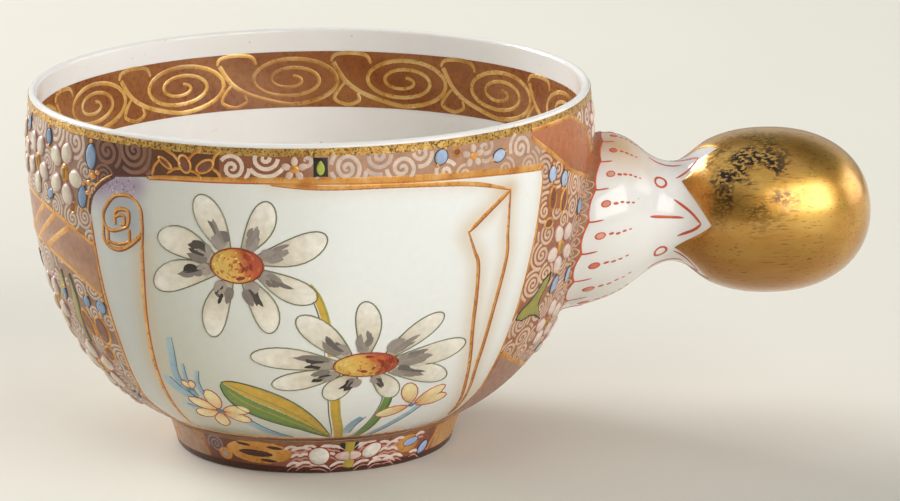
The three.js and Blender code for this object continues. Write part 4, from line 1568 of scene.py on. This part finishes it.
def strip_blossom(angle, way):
    """A small flower of the strip: pale petals about a gold eye."""
    place = bowl_paper(angle, way)
    for number in range(5):
        heading = 2 * math.pi * number / 5 + 0.3
        spot = (0.95 * math.cos(heading), 0.85 * math.sin(heading))
        brocade_petals.patch(place, oval(0.55, 0.42, 10, spot, heading), "#d3b7a2", 0.14, GROUND)
    brocade_gold.patch(place, oval(0.6, 0.48, 12), height=0.18, base=GROUND)
    taken.append((angle, way, 1.2))


def olive_leaf():
    """The broad olive leaf beside the handle, and its mirror image."""
    for sign in (1, -1):
        outline = on_wall([(sign * (angle - RIGHT), way) for angle, way in OLIVE_LEAF[::sign]])
        brocade_leaves.edged(wall_paper(RIGHT), outline, "#9d9440", 0.14, OLIVE_EDGE)
        taken.extend((RIGHT + sign * (angle - RIGHT), way, 1.1) for angle, way in OLIVE_SPINE)


motifs()
olive_leaf()
ribbon(LEFT, [(-64.6, 25.4), (-66, 23.2), (-70, 21)], 1.5, "#aa9c55")
ribbon(LEFT, [(-60.9, 25.4), (-60.5, 23.2), (-61.6, 20.8), (-62, 18.6), (-61.8, 16.4)], 1.5, "#a0954e")


def behind_collar(angle, way):
    """Whether the collar covers a place on the bowl."""
    height = WALL_LINE.at(way)[0].y - COLLAR_HEIGHT
    off = math.radians(angle - RIGHT)
    across = bowl_radius(way) * math.sin(off)
    return math.cos(off) > 0 and math.hypot(across, height) < COLLAR_RADIUS


def in_ground(angle, way, margin):
    """Whether a place lies on open ground."""
    if not GROUND_LOW + margin < way < RIM_LINE_LOW - margin or in_plain_field(angle, way, margin):
        return False
    if way > strip_low(angle) + margin:
        return True
    reach = math.degrees(margin / bowl_radius(way))
    if edge_angle(LEFT_EDGE, way) - reach < from_panel(angle) < edge_angle(RIGHT_EDGE, way) + reach:
        return False
    return not behind_collar(angle, way)


# Wound lines: pitch, line width and colour by part of the ground
WINDING = {
    "left": (0.56, 0.39, "#cdb9a6"),
    "right": (0.62, 0.43, "#dfbd9d"),
    "strip": (0.84, 0.62, "#e2cbb8"),
}
WINDING_REACH = 4.4
WINDING_APART = 2.4
WINDING_TRIES = 9000
DARK_ABOVE = 37  # way from which the wound lines by the rolled corners are dark
STRIP_CENTRES = ((-44, 41.5), (-36.9, 42.2), (-15.4, 41.2), (-9, 42.4), (7, 41.2), (13.2, 42.4),
                 (18, 40.8), (22, 42.4), (46.1, 41.0))
RIGHT_CENTRES = ((66.0, 31.9), (54.2, 27.6), (52.6, 24.2), (55, 16.9))


def winding_centres():
    """Middles of the wound lines: some where they are seen, the rest thrown at random, well apart."""
    centres = [(angle + turn, way) for turn in PANEL_TURNS.values() for angle, way in STRIP_CENTRES]
    centres += [(angle, way) for angle, _, (way,) in on_both_halves(RIGHT, RIGHT_CENTRES)]
    for _ in range(WINDING_TRIES):
        angle = rng.uniform(-180, 180)
        way = rng.uniform(GROUND_LOW, RIM_LINE_LOW)
        apart = WINDING_APART * (1.35 if way > STRIP_LOW else 1.0)
        if not in_ground(angle, way, 0.2):
            continue
        if clear_of(centres, angle, way) > apart and clear_of(taken, angle, way) > 0.4:
            centres.append((angle, way))
    return centres


def clear_of(others, angle, way):
    """Millimetres from a place to the nearest of some (angle, way) or (angle, way, radius)."""
    table = np.array(others)
    across = np.radians((angle - table[:, 0] + 180) % 360 - 180) * bowl_radius(way)
    room = np.hypot(across, way - table[:, 1])
    if table.shape[1] == 3:
        room = room - table[:, 2]
    return float(room.min())


def open_spots(spots, angle, way, centres, covered):
    """Which points of a wound line lie on open ground, nearer to its own middle than to another's."""
    radius = bowl_radius(way)
    own = np.hypot(spots[:, 0], spots[:, 1])
    angles = angle + np.degrees(spots[:, 0] / radius)
    free = np.array([in_ground(a, way + up, -0.12) for a, up in zip(angles, spots[:, 1])])
    for others in (centres, covered):
        across = np.radians((others[:, 0] - angle + 180) % 360 - 180) * radius
        off = np.hypot(across, others[:, 1] - way)
        for other in np.flatnonzero((off > 0.01) & (off < 2 * WINDING_REACH + 1)):
            gap = np.hypot(spots[:, 0] - across[other], spots[:, 1] - others[other, 1] + way)
            free &= gap > (own if others is centres else others[other, 2])
    return free


def wound_ground():
    """Wound lines over all the open ground; each ends where its neighbour's begins."""
    centres = np.array(winding_centres())
    covered = np.array(taken)
    paints = {name: Paint(f"brocade_winding_{name}", ENAMEL, "brocade_enamel") for name in WINDING}
    for angle, way in centres:
        angle = (angle + 180) % 360 - 180
        name = "strip" if way > STRIP_LOW else "right" if angle > 0 else "left"
        pitch, width, colour = WINDING[name]
        line = wound_line(WINDING_REACH, pitch, rng.uniform(0, 2 * math.pi), rng.choice((1, -1)))
        spots = np.array(line) * (rng.uniform(0.9, 1.15), 1.0)
        dark = by_rolled_corner(angle) if way > DARK_ABOVE else 0
        tone = blend(blend(colour, "#bfa598", rng.uniform(0, 0.7)), "#7e523a", dark)
        for run in runs(open_spots(spots, angle, way, centres, covered), 4):
            line = [tuple(spot) for spot in spots[run]]
            paints[name].stroke(bowl_paper(angle, way), line, width, tone, 0.045, GROUND)


def wound_line(radius, pitch, start, hand):
    """A line wound out from the middle, in steps of about the same length."""
    line = []
    turn = 0.0
    while turn < 2 * math.pi * radius / pitch:
        reach = pitch * turn / (2 * math.pi) + 0.05
        line.append((reach * math.cos(start + hand * turn), reach * math.sin(start + hand * turn)))
        turn += min(0.6, 0.4 / reach)
    return line


def runs(free, least):
    """Slices of a row of flags where they stay true."""
    start = None
    for place, flag in enumerate([*free, False]):
        if flag and start is None:
            start = place
        elif not flag and start is not None:
            if place - start >= least:
                yield slice(start, place)
            start = None


wound_ground()

# Foot band

FOOT_GROUND_HIGH = 1.4  # way up the wall to which the foot's ground runs
FOOT_MIDDLE = 2.4
FOOT_BARS = (54, 80, 106)
OVAL_EDGE = (0.26, "#a83a28", 0.12)
FOOT_LEAF_EDGE = (0.13, "#4a4750", 0.14)
# Dark flecks on the gold leaf: place across and up, length and width
FOOT_FLECKS = ((-0.3, -0.1, 4.6, 0.95), (2.0, 0.75, 2.0, 0.45), (-1.6, 0.95, 1.9, 0.4),
               (1.2, -0.95, 2.2, 0.45))
# Pale brush strokes: angle, height and length
FOOT_STROKES = ((-5, 3.2, 2.4), (-4.6, 1.3, 2.0), (8, 3.3, 2.6), (9.4, 1.2, 2.2), (27.5, 3.3, 2.0),
                (28.5, 1.4, 2.8), (18.6, 1.1, 2.0), (32.5, 2.3, 1.5), (-7.4, 2.3, 1.3), (-9.4, 3.3, 1.6),
                (2, 0.95, 2.4), (20.4, 3.5, 2.2), (34.5, 1.3, 2.0), (35, 3.4, 1.8), (-9, 1.2, 1.6),
                (44.6, 1.2, 1.8), (45, 3.4, 1.6), (-4, 2.4, 1.5), (6.4, 2.4, 1.5), (17.6, 3.4, 1.6),
                (18.6, 2.2, 1.0), (28.2, 2.4, 1.5), (31.6, 3.1, 1.6), (31.4, 1.0, 1.8), (24.6, 1.0, 1.8),
                (-2, 3.5, 1.6), (5, 3.5, 1.6))
# White ovals: angle, height, half width, half height, tilt and colour
FOOT_OVALS = ((1.5, 2.3, 1.2, 1.15, 0, "#e9e3d6"), (13.2, 2.2, 1.6, 0.65, 0, "#dcc0b6"),
              (22.6, 2.6, 1.25, 0.85, 0.5, "#e9e3d6"))
# Blue leaves: angle, height, tilt, length and width
FOOT_LEAVES = ((40.6, 2.8, 10, 2.2, 1.0), (48.4, 1.6, 50, 1.9, 1.2))


def foot_tone(angle, _):
    """Maroon, with a mauve field on the left and a gold-brown one on the right of each panel."""
    off = from_panel(angle)
    maroon = blend("#94593e", "#783f2b", 0.5 + 0.5 * math.sin(math.radians(7 * angle)))
    return blend(blend(maroon, "#ac866c", (-47 - off) / 3), "#bb8a52", (off - 54) / 3)


def foot_band():
    """Enamel round the foot and up to the bowl's wall, with painted work and a line at each edge."""
    ground = Paint("foot_band_enamel", ENAMEL, "foot_enamel", "foot_band")
    ground.ring(foot_point, FOOT_BAND_LOW, FOOT_BAND_HIGH, 0.0, GROUND, foot_tone, 20)
    ground.ring(bowl_point, 0.1, FOOT_GROUND_HIGH, 0.0, GROUND, foot_tone, 2)
    work = Paint("foot_band_work", ENAMEL, "foot_enamel")
    gold = Paint("foot_band_gold", LINE_GOLD, "gold")
    for turn in PANEL_TURNS.values():
        foot_left(work, gold, turn)
        foot_strokes(work, turn)
        foot_right(work, gold, turn)
    for low, high, colour in ((FOOT_BAND_LOW, 0.9, "#4c2317"), (FOOT_BAND_HIGH - 0.2, 4.2, "#94653f")):
        work.ring(foot_point, low, high, GROUND, 0.03, colour)


def foot_left(work, gold, turn):
    """Gold bars, and on the left of a panel a spiral, a bead and a gold leaf with dark flecks."""
    bar = smooth([(-1.2, 1.6), (0.0, 0.2), (0.6, -1.3)])
    gold.stroke(foot_paper(turn - 50, FOOT_MIDDLE), bar, 0.35, height=0.08, base=GROUND)
    bar = smooth([(-0.5, -1.5), (0.2, 0), (1.2, 1.5)])
    for angle in FOOT_BARS:
        gold.stroke(foot_paper(turn + angle, FOOT_MIDDLE), bar, 0.35, height=0.08, base=GROUND)
    work.stroke(foot_paper(turn - 42.5, 2.8), spiral(1.2, 0.5, 1.0), 0.3, "#8f8286", 0.06, GROUND)
    place = foot_paper(turn - 38.4, 1.8)
    gold.patch(place, oval(0.95, 0.8, 14), height=0.1, base=GROUND)
    work.patch(place, oval(0.5, 0.42, 10), "#a99fa6", 0.14, GROUND)
    place = foot_paper(turn - 23, 2.5)
    gold.patch(place, petal((-4.1, 0.1), (4.1, 0), 3.0, 12, 1.0), height=0.08, base=GROUND)
    for across, up, length, width in FOOT_FLECKS:
        fleck = petal((across - length / 2, up + 0.1), (across + length / 2, up - 0.1), width, 8, 1.0)
        work.patch(place, fleck, "#4b2a1c", 0.13, GROUND)


def foot_strokes(work, turn):
    """Pale strokes at changing tilts, each with a darker one under it."""
    for number, (angle, height, length) in enumerate(FOOT_STROKES):
        tilt = 17 * math.sin(2.4 * number)
        curl = smooth([(-length / 2, -0.15), (0, 0.2), (length / 2, -0.1)])
        place = foot_paper(turn + angle, height, tilt)
        work.stroke(place, curl, tapered(0.4, 0.5, 0.3), "#e8d2c8", 0.07, GROUND)
        place = foot_paper(turn + angle, height - 0.55, tilt)
        work.stroke(place, curl, tapered(0.26, 0.5, 0.3), "#c9917f", 0.06, GROUND)


def foot_right(work, gold, turn):
    """White ovals edged with red, a bud before a black square, and blue leaves, one on a gold oval."""
    for angle, height, across, up, tilt, colour in FOOT_OVALS:
        outline = oval(across, up, 16, (0, 0), tilt)
        work.edged(foot_paper(turn + angle, height), outline, colour, 0.28, OVAL_EDGE)
    place = foot_paper(turn + 13.4, FOOT_MIDDLE)
    work.patch(place, [(-1.1, 0.3), (1.1, 0.3), (1.1, 1.6), (-1.1, 1.6)], BLACK, 0.06, GROUND)
    work.stroke(place, [(-0.05, -1.7), (0.05, -0.5), (0, 0.6), (0.1, 1.6)], 1.3, "#b89f42", 0.32, GROUND)
    gold.patch(foot_paper(turn + 39.5, 2.6), oval(1.6, 1.15, 16), height=0.09, base=GROUND)
    for angle, height, tilt, length, width in FOOT_LEAVES:
        place = foot_paper(turn + angle, height, tilt)
        work.edged(place, lens(length, width), "#a3b4dc", 0.2, FOOT_LEAF_EDGE)


foot_band()

# Red work on the collar

COLLAR_RED = "#cc5a3c"
BEAD_EDGE = (0.22, COLLAR_RED, 0.05)
BEAD_OFF = 1.75  # from the red line to a bay's bead
DOTS_OFF = 2.85
DOTS_APART = 0.72
# Three strokes before each notch of the knob's gold, and the ring before each point
NOTCH_MARKS = (((-3.2, 0.85), (-1.2, 0.65), (0.9, 0.5)), ((-0.2, 2.65), (1.7, 1.2), (3.2, 0.0)),
               ((0.15, -1.75), (2.1, -0.75), (3.2, 0.0)))
POINT_RING = oval(0.72, 0.66, 14)
POINT_RING_BACK = 1.75
POINT_RING_TURN = 2


def collar_bay(red, turn):
    """One bay: its piece of the red line, a tick at its end, a bead and a row of dots."""
    place = root_paper(turn)
    bay = 2 * math.pi * COLLAR_RADIUS / COLLAR_BAYS
    edge = []
    for step in range(13):
        off = bay * (step / 12 - 0.5)
        edge.append((scallop(turn - off / COLLAR_RADIUS), off))
    red.stroke(place, edge, 0.28, COLLAR_RED, 0.09)
    cusp = edge[-1][0]
    tick = smooth([(cusp - 0.1, bay / 2), (cusp + 0.5, bay / 2 - 0.08), (cusp + 1.5, bay / 2)])
    red.stroke(place, tick, tapered(0.24, 0.9, 0.2), COLLAR_RED, 0.05)
    line = scallop(turn)
    bead = oval(0.46, 0.36, 12, (line + BEAD_OFF, 0))
    red.edged(place, bead, blend("#e3a892", COLLAR_RED, rng.random() ** 2), 0.03, BEAD_EDGE, 0.0)
    for dot in range(rng.choice((4, 5))):
        size = rng.uniform(0.22, 0.28) - 0.025 * dot
        spot = (line + DOTS_OFF + DOTS_APART * dot, rng.uniform(-0.1, 0.1))
        red.patch(place, oval(1.3 * size, 0.75 * size, 8, spot), COLLAR_RED, 0.04)


def collar_red():
    """Red bays round the collar's foot, and red strokes and rings round its neck."""
    red = Paint("collar_red", ENAMEL, "brocade_enamel")
    for number in range(COLLAR_BAYS):
        collar_bay(red, -2 * math.pi * number / COLLAR_BAYS - math.radians(COLLAR_TURN))
    for turn, _ in KNOB_NOTCHES:
        place = collar_paper(BELL_LINE.length, turn)
        for mark in NOTCH_MARKS:
            red.stroke(place, smooth(mark), tapered(0.36), COLLAR_RED, 0.05)
    for turn, _ in KNOB_POINTS:
        place = collar_paper(BELL_LINE.length - POINT_RING_BACK, turn - POINT_RING_TURN)
        red.stroke(place, POINT_RING, 0.34, COLLAR_RED, 0.05, closed=True)


collar_red()

for paint in Paint.every:
    paint.make()

# Stage, light and camera

FLOOR_SIZE = 6.0  # metres
LIGHT_TARGET = Vector((0, 0, 0.02))
# Lights: name, place, width and height in metres, and power in watts
LIGHTS = (("window_left", (-0.85, 0.6, 0.55), 0.6, 0.6, 15.2),
          ("window_front", (0.5, -0.66, 0.42), 0.85, 0.55, 5.7),
          ("window_right", (0.8, 0.25, 0.25), 0.6, 0.4, 1.5),
          ("window_back", (0.2, 1.4, 0.6), 2.2, 0.9, 2.5),
          ("ceiling", (-0.3, -0.3, 1.5), 2.0, 2.0, 5.0))
CAMERA_BACK = 616.1
CAMERA_UP = 174.4
CAMERA_YAW = 1.498
CAMERA_PITCH = 13.87
CAMERA_ROLL = -0.513
LENS = 217.33
SENSOR = 36.0


def floor():
    shader = Shader("floor", Roughness=0.75)
    shader.link(shader.ramp(shader.noise(160), (0.3, "#e1ded2"), (0.7, "#e6e3d8")), "Base Color")
    half = FLOOR_SIZE / 2
    mesh = bpy.data.meshes.new("floor")
    corners = [(-half, -half, 0), (half, -half, 0), (half, half, 0), (-half, half, 0)]
    mesh.from_pydata(corners, [], [(0, 1, 2, 3)])
    mesh.materials.append(shader.material)
    ground = bpy.data.objects.new("floor", mesh)
    bpy.context.scene.collection.objects.link(ground)


def area_light(name, place, width, height, power):
    lamp = bpy.data.lights.new(name, "AREA")
    lamp.shape = "RECTANGLE"
    lamp.size = width
    lamp.size_y = height
    lamp.energy = power
    light = bpy.data.objects.new(name, lamp)
    light.location = place
    light.rotation_euler = (LIGHT_TARGET - Vector(place)).to_track_quat("-Z", "Y").to_euler()
    bpy.context.scene.collection.objects.link(light)


def lights():
    for light in LIGHTS:
        area_light(*light)
    world = bpy.data.worlds.new("room")
    world.use_nodes = True
    background = world.node_tree.nodes["Background"]
    background.inputs["Color"].default_value = linear("#fffaf0")
    background.inputs["Strength"].default_value = 0.13
    bpy.context.scene.world = world


def camera():
    yaw, pitch, roll = (math.radians(angle) for angle in (CAMERA_YAW, CAMERA_PITCH, CAMERA_ROLL))
    ahead = Vector((math.sin(yaw) * math.cos(pitch), math.cos(yaw) * math.cos(pitch), -math.sin(pitch)))
    right = Vector((math.cos(yaw), -math.sin(yaw), 0))
    above = right.cross(ahead)
    across = right * math.cos(roll) + above * math.sin(roll)
    upward = above * math.cos(roll) - right * math.sin(roll)
    lens = bpy.data.cameras.new("camera")
    lens.lens = LENS
    lens.sensor_width = SENSOR
    lens.clip_start = 0.01
    view = bpy.data.objects.new("camera", lens)
    turn = Matrix((across, upward, -ahead)).transposed().to_4x4()
    view.matrix_world = Matrix.Translation(Vector((AXIS_X, -CAMERA_BACK, CAMERA_UP)) * MM) @ turn
    bpy.context.scene.collection.objects.link(view)
    bpy.context.scene.camera = view


floor()
lights()
camera()
bpy.context.scene.view_settings.view_transform = "Standard"
